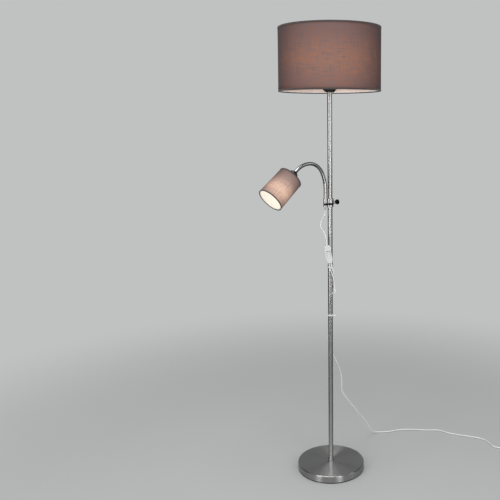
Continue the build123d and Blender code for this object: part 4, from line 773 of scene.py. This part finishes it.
@dataclass
class LampCords:
    """The mains cord and the three thin leads, with the points of their routes in metres.
    """

    mains_diameter: float = 0.005
    lead_diameter: float = 0.004
    floor: float = 0.0032
    landing_lift: float = 0.0018
    lead_foot: float = 0.79
    lead_turn: float = 0.8685
    lead_top: float = 0.905
    relief_end: float = 0.908

    LEAD_UPPER = (
        (-0.01509, -0.01266, 0.923), (-0.01509, -0.01266, 0.903), (-0.0167, -0.0129, 0.8935),
        (-0.0216, -0.0134, 0.8835), (-0.0273, -0.0143, 0.874), (-0.0299, -0.0148, 0.8685),
    )
    LEAD_LOWER = (
        (-0.0299, -0.0148, 0.8685), (-0.0325, -0.0153, 0.863), (-0.0326, -0.0159, 0.8535),
        (-0.0278, -0.0165, 0.8445), (-0.0212, -0.0172, 0.8355), (-0.0166, -0.0178, 0.8245),
        (-0.0132, -0.0185, 0.812), (-0.01232, -0.0185, 0.79796), (-0.01034, -0.0185, 0.78663),
    )
    LAMP_LEAD = (
        (-0.00452, -0.0185, 0.73185), (-0.00345, -0.0185, 0.72543), (-0.0024, -0.0172, 0.715),
        (0.0026, -0.0148, 0.699), (0.0094, -0.0114, 0.681), (0.0132, -0.0066, 0.663),
        (0.0136, -0.0048, 0.646), (0.0154, -0.0057, 0.635), (0.0168, -0.0061, 0.6235),
        (0.00733, -0.00267, 0.622),
    )
    MAINS_POLE = (
        (0.0018, -0.0185, 0.73289), (0.00286, -0.0185, 0.72648), (0.0054, -0.0166, 0.714),
        (0.0092, -0.0122, 0.7), (0.0126, -0.0052, 0.684), (0.0128, 0.003, 0.663), (0.0102, 0.0094, 0.64),
        (0.0046, 0.0129, 0.612), (0.0004, 0.0132, 0.58), (0.0009, 0.0122, 0.546),
        (-0.0006, 0.0128, 0.514), (-0.0052, 0.0126, 0.486), (-0.0088, 0.0109, 0.458),
        (-0.0066, 0.0124, 0.432), (0.001, 0.0136, 0.411), (0.0106, 0.0146, 0.395),
        (0.0192, 0.0215, 0.374), (0.0276, 0.036, 0.35), (0.0358, 0.051, 0.318), (0.039, 0.063, 0.286),
        (0.0372, 0.076, 0.258), (0.043, 0.092, 0.23), (0.066, 0.118, 0.19), (0.097, 0.154, 0.136),
        (0.124, 0.19, 0.089), (0.141, 0.217, 0.052), (0.1515, 0.234, 0.029), (0.161, 0.2475, 0.013),
    )
    MAINS_FLOOR = (
        (0.186, 0.2635), (0.206, 0.2625), (0.233, 0.268), (0.268, 0.283), (0.322, 0.2835), (0.375, 0.276),
        (0.423, 0.279), (0.45, 0.252), (0.489, 0.236), (0.532, 0.221), (0.573, 0.205), (0.592, 0.174),
        (0.596, 0.153), (0.6055, 0.135), (0.623, 0.127), (0.645, 0.1255), (0.668, 0.1257),
    )
    MAINS_LANDING = (0.172, 0.258)
    MAINS_TAIL = ((0.7012, 0.082, 0.0085), (0.7032, 0.07, 0.0074), (0.7035, 0.058, 0.0072))

    def route(self, points: tuple | list, diameter: float, name: str, sides: int = 5) -> tuple:
        """Makes a tube along a smooth spline.

        Args:
            points: the spline's control points.
            diameter: the cord's diameter.
            name: the tube's name.
            sides: Blender's bevel resolution, of which half the sides are made.

        Returns:
            The tube's object and the points of its centreline.
        """
        curve = bpy.data.curves.new(name + "_line", "CURVE")
        curve.dimensions = "3D"
        curve.resolution_u = 8
        spline = curve.splines.new("NURBS")
        spline.points.add(len(points) - 1)
        for spot, point in zip(spline.points, points):
            spot.co = (*point, 1.0)
        spline.order_u = 3
        spline.use_endpoint_u = True
        holder = bpy.data.objects.new(name + "_line", curve)
        bpy.context.scene.collection.objects.link(holder)
        bare = bpy.data.meshes.new_from_object(holder)
        centreline = [tuple(vertex.co) for vertex in bare.vertices]
        curve.bevel_depth = diameter / 2.0
        curve.bevel_resolution = sides
        curve.use_fill_caps = True
        bpy.context.view_layer.update()
        made = holder.evaluated_get(bpy.context.evaluated_depsgraph_get())
        data = bpy.data.meshes.new_from_object(made)
        data.name = name
        bpy.data.objects.remove(holder)
        data.shade_smooth()
        data.materials.clear()
        data.materials.append(CORD_SHEATH.material())
        tube = bpy.data.objects.new(name, data)
        bpy.context.scene.collection.objects.link(tube)
        return tube, centreline

    @staticmethod
    def run(centreline: list[tuple]) -> float:
        """Gives the length of a centreline."""
        return sum((Vector(b) - Vector(a)).length for a, b in zip(centreline, centreline[1:]))

    def build(self) -> None:
        """Makes the mains cord and the three thin leads."""
        self.mains()
        self.lead("reading_flex_upper", "reading_lead_upper", self.LEAD_UPPER, ("slider", "clamp"),
                  (self.lead_turn, self.lead_top))
        self.lead("reading_flex_lower", "reading_lead_lower", self.LEAD_LOWER, ("stand", "slider"),
                  (self.lead_foot, self.lead_turn))
        self.lead("lamp_flex", "upper_lamp_lead", self.LAMP_LEAD, ("stand",))

    def mains(self) -> None:
        points = list(self.MAINS_POLE) + [(*self.MAINS_LANDING, self.floor + self.landing_lift)]
        points += [(x, y, self.floor) for x, y in self.MAINS_FLOOR]
        points += PutAwayCoil().points() + list(self.MAINS_TAIL)
        tube, line = self.route(points, self.mains_diameter, "mains_flex")
        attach(tube, "stand")
        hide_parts("mains_cord", "mains_coil")
        LOG.info("mains cord %.3f m", self.run(line))

    def lead(self, name: str, node: str, points: tuple, bodies: tuple, span: tuple | None = None) -> None:
        """Args:
            name: the lead's name.
            node: the CAD node that it stands for.
            points: its control points.
            bodies: the body that it rides on; for a lead with a span it is not used.
            span: the heights of a blend that is not made; a lead given one is left fixed in the lamp's frame.
        """
        tube, line = self.route(points, self.lead_diameter, name, 4)
        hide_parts(node)
        if span:
            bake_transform(tube)
        else:
            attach(tube, bodies[0])
        LOG.info("%s %.3f m", name, self.run(line))


# ------------------------------------------------------------------ shades
@dataclass
class Shade:
    """A round shade of cloth on a lining, with a folded tape over each edge.

    It is modelled upright with its lower edge at z = 0, and then set in its place. Metres. inset is
    how far the cloth's edges lie under the tape, seat and tape_seat how far its outer face and the
    tape's middle line lie inside the shade's radius, and fold the radius of the tape's fold.
    """

    name: str
    place: Matrix
    low_radius: float
    high_radius: float
    height: float
    tape_width: float
    cloth: ShadeCloth
    body: str
    nodes: dict
    segments: int = 240
    rows: int = 12
    wall: float = 0.0006
    inset: float = 0.0007
    seat: float = 0.0006
    lap: float = 0.007
    lap_lift: float = 0.00045
    ripple: float = 0.00012
    ripples: float = 23.0
    tape_rows: int = 14
    tape_wall: float = 0.00042
    tape_seat: float = 0.0013
    fold: float = 0.00098
    pucker: float = 0.00007
    puckers: float = 0.37

    def radius(self, z: float) -> float:
        """Gives the outer radius at a height."""
        return self.low_radius + (self.high_radius - self.low_radius) * z / self.height

    def cloth_point(self, turn: float, rise: float) -> Vector:
        """Gives a point of the cloth's outer face, with the lap of its glued seam at the back.

        Args:
            turn: from 0 to 1, starting at the back.
            rise: from 0 to 1, from the lower edge.

        Returns:
            The point, in the lamp's frame.
        """
        z = self.inset + rise * (self.height - 2.0 * self.inset)
        radius = self.radius(z) - self.seat
        from_back = min(turn, 1.0 - turn) * 2.0 * math.pi * radius
        if from_back < self.lap / 2.0:
            radius += self.lap_lift
        angle = turn * 2.0 * math.pi + math.pi / 2.0
        radius += self.ripple * math.sin(angle * self.ripples) * math.sin(math.pi * rise)
        return self.place @ Vector((radius * math.cos(angle), radius * math.sin(angle), z))

    def build(self) -> bpy.types.Object:
        """Returns:
            The cloth.
        """
        girth = 2.0 * math.pi * (self.low_radius + self.high_radius) / 2.0
        mesh = roll_tube(self.segments, self.rows, self.cloth_point, (girth, self.height))
        cloth = add_piece(self.name + "_cloth", mesh, self.cloth)
        thicken(cloth, self.wall)
        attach(cloth, self.body)
        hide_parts(self.nodes["cloth"])
        tapes = [self.tape(at_top) for at_top in (False, True)]
        return cloth

    def tape_point(self, turn: float, share: float, at_top: bool) -> Vector:
        """Gives a point of a tape's middle line: up outside, over the edge and down inside.

        Args:
            turn: from 0 to 1 round the shade.
            share: from 0 at the outer end to 1 at the inner end.
            at_top: whether the tape is on the upper edge.

        Returns:
            The point, in the lamp's frame.
        """
        half = self.fold
        leg = self.tape_width - half
        run = share * (2.0 * leg + math.pi * half)
        if run < leg:
            out, down = half, self.tape_width - run
        elif run < leg + math.pi * half:
            bend = (run - leg) / half
            out, down = half * math.cos(bend), half - half * math.sin(bend)
        else:
            out, down = -half, half + (run - leg - math.pi * half)
        z = self.height - down if at_top else down
        radius = self.radius(z) - self.tape_seat + out
        angle = turn * 2.0 * math.pi + math.pi / 2.0
        gathers = math.sin(angle * self.segments * self.puckers)
        radius += self.pucker * gathers * (1.0 - abs(2.0 * share - 1.0))
        return self.place @ Vector((radius * math.cos(angle), radius * math.sin(angle), z))

    def tape(self, at_top: bool) -> bpy.types.Object:
        """Makes one folded tape."""
        girth = 2.0 * math.pi * self.radius(self.height if at_top else 0.0)
        mesh = roll_tube(self.segments, self.tape_rows,
                         lambda turn, share: self.tape_point(turn, share, at_top),
                         (girth, 2.0 * self.tape_width))
        name = self.name + ("_tape_top" if at_top else "_tape_low")
        piece = add_piece(name, mesh, TAPE_CLOTH)
        thicken(piece, self.tape_wall, 0.0)
        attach(piece, self.body)
        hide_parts(self.nodes["tape"])
        return piece


def head_frame(height: float) -> Matrix:
    """Gives the reading shade's frame: z runs from its opening back to its top.

    Args:
        height: the shade's height.

    Returns:
        The matrix that sets an upright shade in its place.
    """
    swing = Matrix.Rotation(math.radians(ARM_SWING), 4, "Z")
    dip = Matrix.Rotation(math.radians(90.0 - HEAD_DIP), 4, "Y")
    return Matrix.Translation(HEAD_ORIGIN) @ swing @ dip @ Matrix.Translation((0.0, 0.0, -height))


# ------------------------------------------------------------------ gooseneck
@dataclass
class Gooseneck:
    """The wound wire skin of the gooseneck, in three lengths.

    Millimetres and degrees. offset and foot place it beside the clamp, root is its lowest hinge, and
    the cuts are shares of the rise and of the fall. bend_reach is a reach to both sides of each
    hinge, at which centreline points are worked out and left unused.
    """

    swing: float = ARM_SWING
    offset: float = 19.7
    foot: float = 934.5
    root: float = 972.0
    rise_radius: float = 130.0
    rise_turn: float = 27.2
    crown_radius: float = 58.0
    fall_radius: float = 80.0
    dip: float = HEAD_DIP
    end: float = 17.5
    skin: float = 5.75
    groove: float = 0.03
    pitch: float = 1.6
    around: int = 30
    rings_a_rib: int = 5
    girth: float = 36.0
    wall: float = 0.8
    rise_cut: float = 0.55
    fall_cut: float = 0.12
    crown_hinge: float = 58.0
    tip_hinge: float = 22.0
    bend_reach: tuple = (13.0, 22.0, 20.0)

    def spans(self) -> list[tuple]:
        """Gives the centreline's straight and curved spans.

        Returns:
            For each span its length, centre, radius, first angle and last angle; a straight one has
            a radius of 0, and its start and direction in place of the angles.
        """
        hinge = Vector((-self.offset, self.root))
        rise = hinge - Vector((self.rise_radius, 0.0))
        turn = math.radians(self.rise_turn)
        rise_end = rise + Vector((math.cos(turn), math.sin(turn))) * self.rise_radius
        crown = rise_end - Vector((math.cos(turn), math.sin(turn))) * self.crown_radius
        top = crown + Vector((0.0, self.crown_radius))
        fall = top - Vector((0.0, self.fall_radius))
        right, dip = math.pi / 2.0, math.radians(self.dip)
        fall_end = fall + Vector((math.cos(right + dip), math.sin(right + dip))) * self.fall_radius
        return [
            (self.root - self.foot, Vector((-self.offset, self.foot)), 0.0, Vector((0.0, 1.0)), None),
            (self.rise_radius * turn, rise, self.rise_radius, 0.0, turn),
            (self.crown_radius * (right - turn), crown, self.crown_radius, turn, right),
            (self.fall_radius * dip, fall, self.fall_radius, right, right + dip),
            (self.end, fall_end, 0.0, Vector((-math.cos(dip), -math.sin(dip))), None),
        ]

    def at(self, run: float) -> tuple:
        """Gives the centreline's point and direction.

        Args:
            run: millimetres along the centreline.

        Returns:
            The point and the direction, in the arm's own plane.
        """
        for length, anchor, radius, first, last in self.spans():
            if run <= length or last is None and radius == 0.0 and first.x < 0.0:
                break
            run -= length
        if radius == 0.0:
            return anchor + first * run, first
        angle = first + run / radius
        outwards = Vector((math.cos(angle), math.sin(angle)))
        return anchor + outwards * radius, Vector((-outwards.y, outwards.x))

    def length_to(self, span: int, share: float) -> float:
        """Gives the run to a share of one span."""
        lengths = [entry[0] for entry in self.spans()]
        return sum(lengths[:span]) + lengths[span] * share

    def skin_point(self, turn: float, run: float, bare: bool = False) -> Vector:
        """Gives a point of the skin.

        Args:
            turn: from 0 to 1 round the neck.
            run: millimetres along it.
            bare: whether the point lies on the centreline.

        Returns:
            The point in metres, in the lamp's frame.
        """
        centre, way = self.at(run)
        wound = abs(math.sin(math.pi * (run / self.pitch + turn)))
        radius = 0.0 if bare else self.skin - self.groove * (1.0 - wound) ** 2
        side = radius * math.cos(turn * 2.0 * math.pi)
        out = radius * math.sin(turn * 2.0 * math.pi)
        local = Vector((centre.x - way.y * out, side, centre.y + way.x * out))
        return Matrix.Rotation(math.radians(self.swing), 3, "Z") @ (local * MM)

    def build(self) -> None:
        """Makes the three lengths."""
        cuts = [0.0, self.length_to(1, self.rise_cut), self.length_to(3, self.fall_cut),
                self.length_to(4, 1.0)]
        crown_share = (self.crown_hinge - self.rise_turn) / (90.0 - self.rise_turn)
        hinges = [self.length_to(1, 0.0), self.length_to(2, crown_share),
                  self.length_to(3, self.tip_hinge / self.dip)]
        lengths = (
            ("neck_skin_foot", ("clamp", "neck_low"), ("neck_root",)),
            ("neck_skin_crown", ("neck_low", "neck_high"), ("neck_lower",)),
            ("neck_skin_tip", ("neck_high", "head"), ("neck_upper", "neck_tip")),
        )
        for index, (name, bodies, nodes) in enumerate(lengths):
            start, stop = cuts[index], cuts[index + 1]
            rings = round((stop - start) / self.pitch * self.rings_a_rib)
            mesh = roll_tube(self.around, rings,
                             lambda turn, rise: self.skin_point(turn, start + rise * (stop - start)),
                             (self.girth * MM, (stop - start) * MM))
            piece = add_piece(name, mesh, NECK_NICKEL, 70.0)
            thicken(piece, self.wall * MM)
            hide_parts(*nodes)
            hinge, reach = hinges[index], self.bend_reach[index]
            self.skin_point(0.0, hinge - reach, True)
            self.skin_point(0.0, hinge + reach, True)
            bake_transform(piece)


# ------------------------------------------------------------------ studio
@dataclass
class Studio:
    """A plain pale floor, pale air and soft lights. Metres."""

    floor_radius: float = 9.0
    near: float = 0.8
    far: float = 2.1
    pale: tuple = paint(192, 194, 194)
    floor_paint: tuple = paint(190, 192, 192)
    floor_before: tuple = paint(156, 157, 158)
    floor_beside: tuple = paint(100, 101, 102)
    behind: tuple = paint(112, 113, 114)
    ceiling: tuple = paint(128, 129, 130)
    front: tuple = paint(122, 123, 124)
    fill: float = 0.52
    screen_size: tuple = (1.6, 2.6)
    screen_paint: tuple = paint(26, 26, 27)

    # For each dark screen its name, place and turn, and for each light its name, place, aim, size
    # and watts.
    SCREENS = (
        ("screen_left", (-1.5, 0.5, 0.9), -60.0),
        ("screen_right", (1.5, 0.75, 0.9), 60.0),
    )
    LIGHTS = (
        ("soft_left", (-1.5, -1.8, 1.0), (0.0, 0.0, 0.8), (0.7, 1.9), 13.0),
        ("soft_right", (1.15, -2.1, 1.0), (0.0, 0.0, 0.8), (0.6, 1.9), 11.0),
        ("soft_top", (-0.3, -0.5, 3.1), (0.0, 0.0, 0.0), (1.3, 1.0), 26.0),
        ("soft_back", (0.1, 1.5, 2.6), (0.0, 0.0, 0.2), (1.2, 0.9), 0.35),
        ("soft_side", (1.85, -0.35, 1.5), (0.0, 0.0, 1.2), (0.5, 1.0), 2.4),
    )

    def floor(self) -> bpy.types.Object:
        """Makes the floor, which fades into the air around it."""
        mesh = bmesh.new()
        bmesh.ops.create_circle(mesh, cap_ends=True, cap_tris=True, segments=96, radius=self.floor_radius)
        data = bpy.data.meshes.new("studio_floor")
        mesh.to_mesh(data)
        mesh.free()
        material = bpy.data.materials.new("studio_floor")
        material.use_nodes = True
        material.node_tree.nodes.clear()
        graph = Graph(material.node_tree)
        place = Finish.place(graph)
        marks = EFFECTS.use(graph, "handling_marks", {
            "Place": place, "Scale": 5.0, "Low": 0.5, "High": 0.56})
        mirrored = graph.add("ShaderNodeLightPath").outputs["Is Glossy Ray"]
        aside = graph.math("ABSOLUTE", graph.add("ShaderNodeSeparateXYZ", {0: place}).outputs[0])
        in_metal = graph.blend(graph.ramp(aside, 0.12, 0.4), self.floor_before, self.floor_beside)
        surface = graph.add("ShaderNodeBsdfPrincipled", {
            "Base Color": graph.blend(mirrored, self.floor_paint, in_metal),
            "Roughness": marks.outputs["Value"], "Specular IOR Level": 0.2})
        air = graph.add("ShaderNodeEmission", {
            "Color": graph.blend(mirrored, self.pale, self.behind), "Strength": 1.0})
        away = graph.add("ShaderNodeVectorMath", {0: place}, operation="LENGTH").outputs["Value"]
        share = graph.ramp(away, self.near, self.far)
        mixed = graph.add("ShaderNodeMixShader", {0: share, 1: surface.outputs[0], 2: air.outputs[0]})
        graph.add("ShaderNodeOutputMaterial", {"Surface": mixed.outputs[0]})
        data.materials.append(material)
        floor = bpy.data.objects.new("studio_floor", data)
        bpy.context.scene.collection.objects.link(floor)
        return floor

    def screen(self, name: str, place: tuple, turn: float) -> bpy.types.Object:
        """Makes a dark screen beside the lamp, seen only in its metal.

        Args:
            name: the screen's name.
            place: its centre.
            turn: its turn about the vertical, in degrees.

        Returns:
            The screen's object.
        """
        mesh = bmesh.new()
        bmesh.ops.create_grid(mesh, x_segments=1, y_segments=1, size=0.5)
        bmesh.ops.scale(mesh, vec=(*self.screen_size, 1.0), verts=mesh.verts)
        upright = Matrix.Rotation(math.radians(turn), 4, "Z") @ Matrix.Rotation(math.radians(90.0), 4, "X")
        bmesh.ops.transform(mesh, matrix=Matrix.Translation(place) @ upright, verts=mesh.verts)
        data = bpy.data.meshes.new(name)
        mesh.to_mesh(data)
        mesh.free()
        data.materials.append(MouldedPlastic("dark_screen", self.screen_paint, 0.9).material())
        screen = bpy.data.objects.new(name, data)
        screen.visible_camera = False
        screen.visible_diffuse = False
        screen.visible_shadow = False
        bpy.context.scene.collection.objects.link(screen)
        return screen

    def light(self, name: str, place: tuple, aim: tuple, size: tuple, watts: float) -> bpy.types.Object:
        """Makes one soft light.

        Args:
            name: the light's name.
            place: its centre.
            aim: the point that it faces.
            size: its width and height.
            watts: its power.

        Returns:
            The light's object.
        """
        data = bpy.data.lights.new(name, "AREA")
        data.shape = "RECTANGLE"
        data.size, data.size_y = size
        data.energy = watts
        lamp = bpy.data.objects.new(name, data)
        facing = (Vector(aim) - Vector(place)).to_track_quat("-Z", "Y").to_matrix().to_4x4()
        lamp.matrix_world = Matrix.Translation(place) @ facing
        lamp.visible_camera = False
        bpy.context.scene.collection.objects.link(lamp)
        return lamp

    def air(self) -> None:
        """Sets the world: pale where it is seen, darker overhead in reflections, plain for light."""
        world = bpy.data.worlds.new("studio_air")
        bpy.context.scene.world = world
        world.use_nodes = True
        world.node_tree.nodes.clear()
        graph = Graph(world.node_tree)
        path = graph.add("ShaderNodeLightPath")
        ray = graph.add("ShaderNodeTexCoord").outputs["Generated"]
        way = graph.add("ShaderNodeSeparateXYZ", {0: ray})
        forwards = graph.ramp(way.outputs[1], 0.15, -0.35)
        overhead = graph.ramp(way.outputs[2], 0.1, 0.55)
        mirrored = graph.blend(overhead, graph.blend(forwards, self.behind, self.front), self.ceiling)
        shiny = graph.math("MAXIMUM", path.outputs["Is Glossy Ray"], path.outputs["Is Transmission Ray"])
        plain = graph.blend(shiny, (self.fill, self.fill, self.fill, 1.0), mirrored)
        seen = graph.blend(path.outputs["Is Camera Ray"], plain, self.pale)
        sky = graph.add("ShaderNodeBackground", {"Color": seen, "Strength": 1.0})
        graph.add("ShaderNodeOutputWorld", {"Surface": sky.outputs[0]})

    def build(self) -> None:
        """Makes floor, screens, lights and air, and sets the plain view."""
        self.floor()
        for name, place, turn in self.SCREENS:
            self.screen(name, place, turn)
        for name, place, aim, size, watts in self.LIGHTS:
            self.light(name, place, aim, size, watts)
        self.air()
        bpy.context.scene.view_settings.view_transform = "Standard"


# ------------------------------------------------------------------ lamp
def dress_nodes() -> None:
    """Gives every CAD node its finish, and reports any that has none."""
    for finish, names in NODE_FINISHES.items():
        for name in names:
            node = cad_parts[name]
            if not node.material_slots:
                node.data.materials.append(None)
            for place in node.material_slots:
                place.material = finish.material()
    dressed = {name for names in NODE_FINISHES.values() for name in names}
    for name in sorted(set(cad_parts) - dressed):
        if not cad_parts[name].hide_render:
            LOG.warning("node %s has no finish", name)


def main() -> None:
    """Builds the camera, the cords, the lamp's own pieces and the studio, in that order."""
    logging.basicConfig(level=logging.INFO, format="%(name)s: %(message)s")
    PhotoCamera().build()
    LampCords().build()
    Shade(
        "main_shade", Matrix.Translation((0.0, 0.0, MAIN_FOOT)), low_radius=0.168, high_radius=0.168,
        height=0.205, tape_width=0.0055, cloth=MAIN_CLOTH, body="stand",
        nodes={"cloth": "shade_fabric", "lining": "shade_liner", "tape": "shade_bindings"}).build()
    Shade(
        "reading_shade", head_frame(READING_HEIGHT), low_radius=0.0443, high_radius=0.0417,
        height=READING_HEIGHT, tape_width=0.0036, cloth=READING_CLOTH, body="head",
        nodes={"cloth": "reading_shade_fabric", "lining": "reading_shade_liner",
               "tape": "reading_shade_bindings"}, segments=120, lap=0.005).build()
    Gooseneck().build()
    dress_nodes()
    Studio().build()


if __name__ == "__main__":
    main()
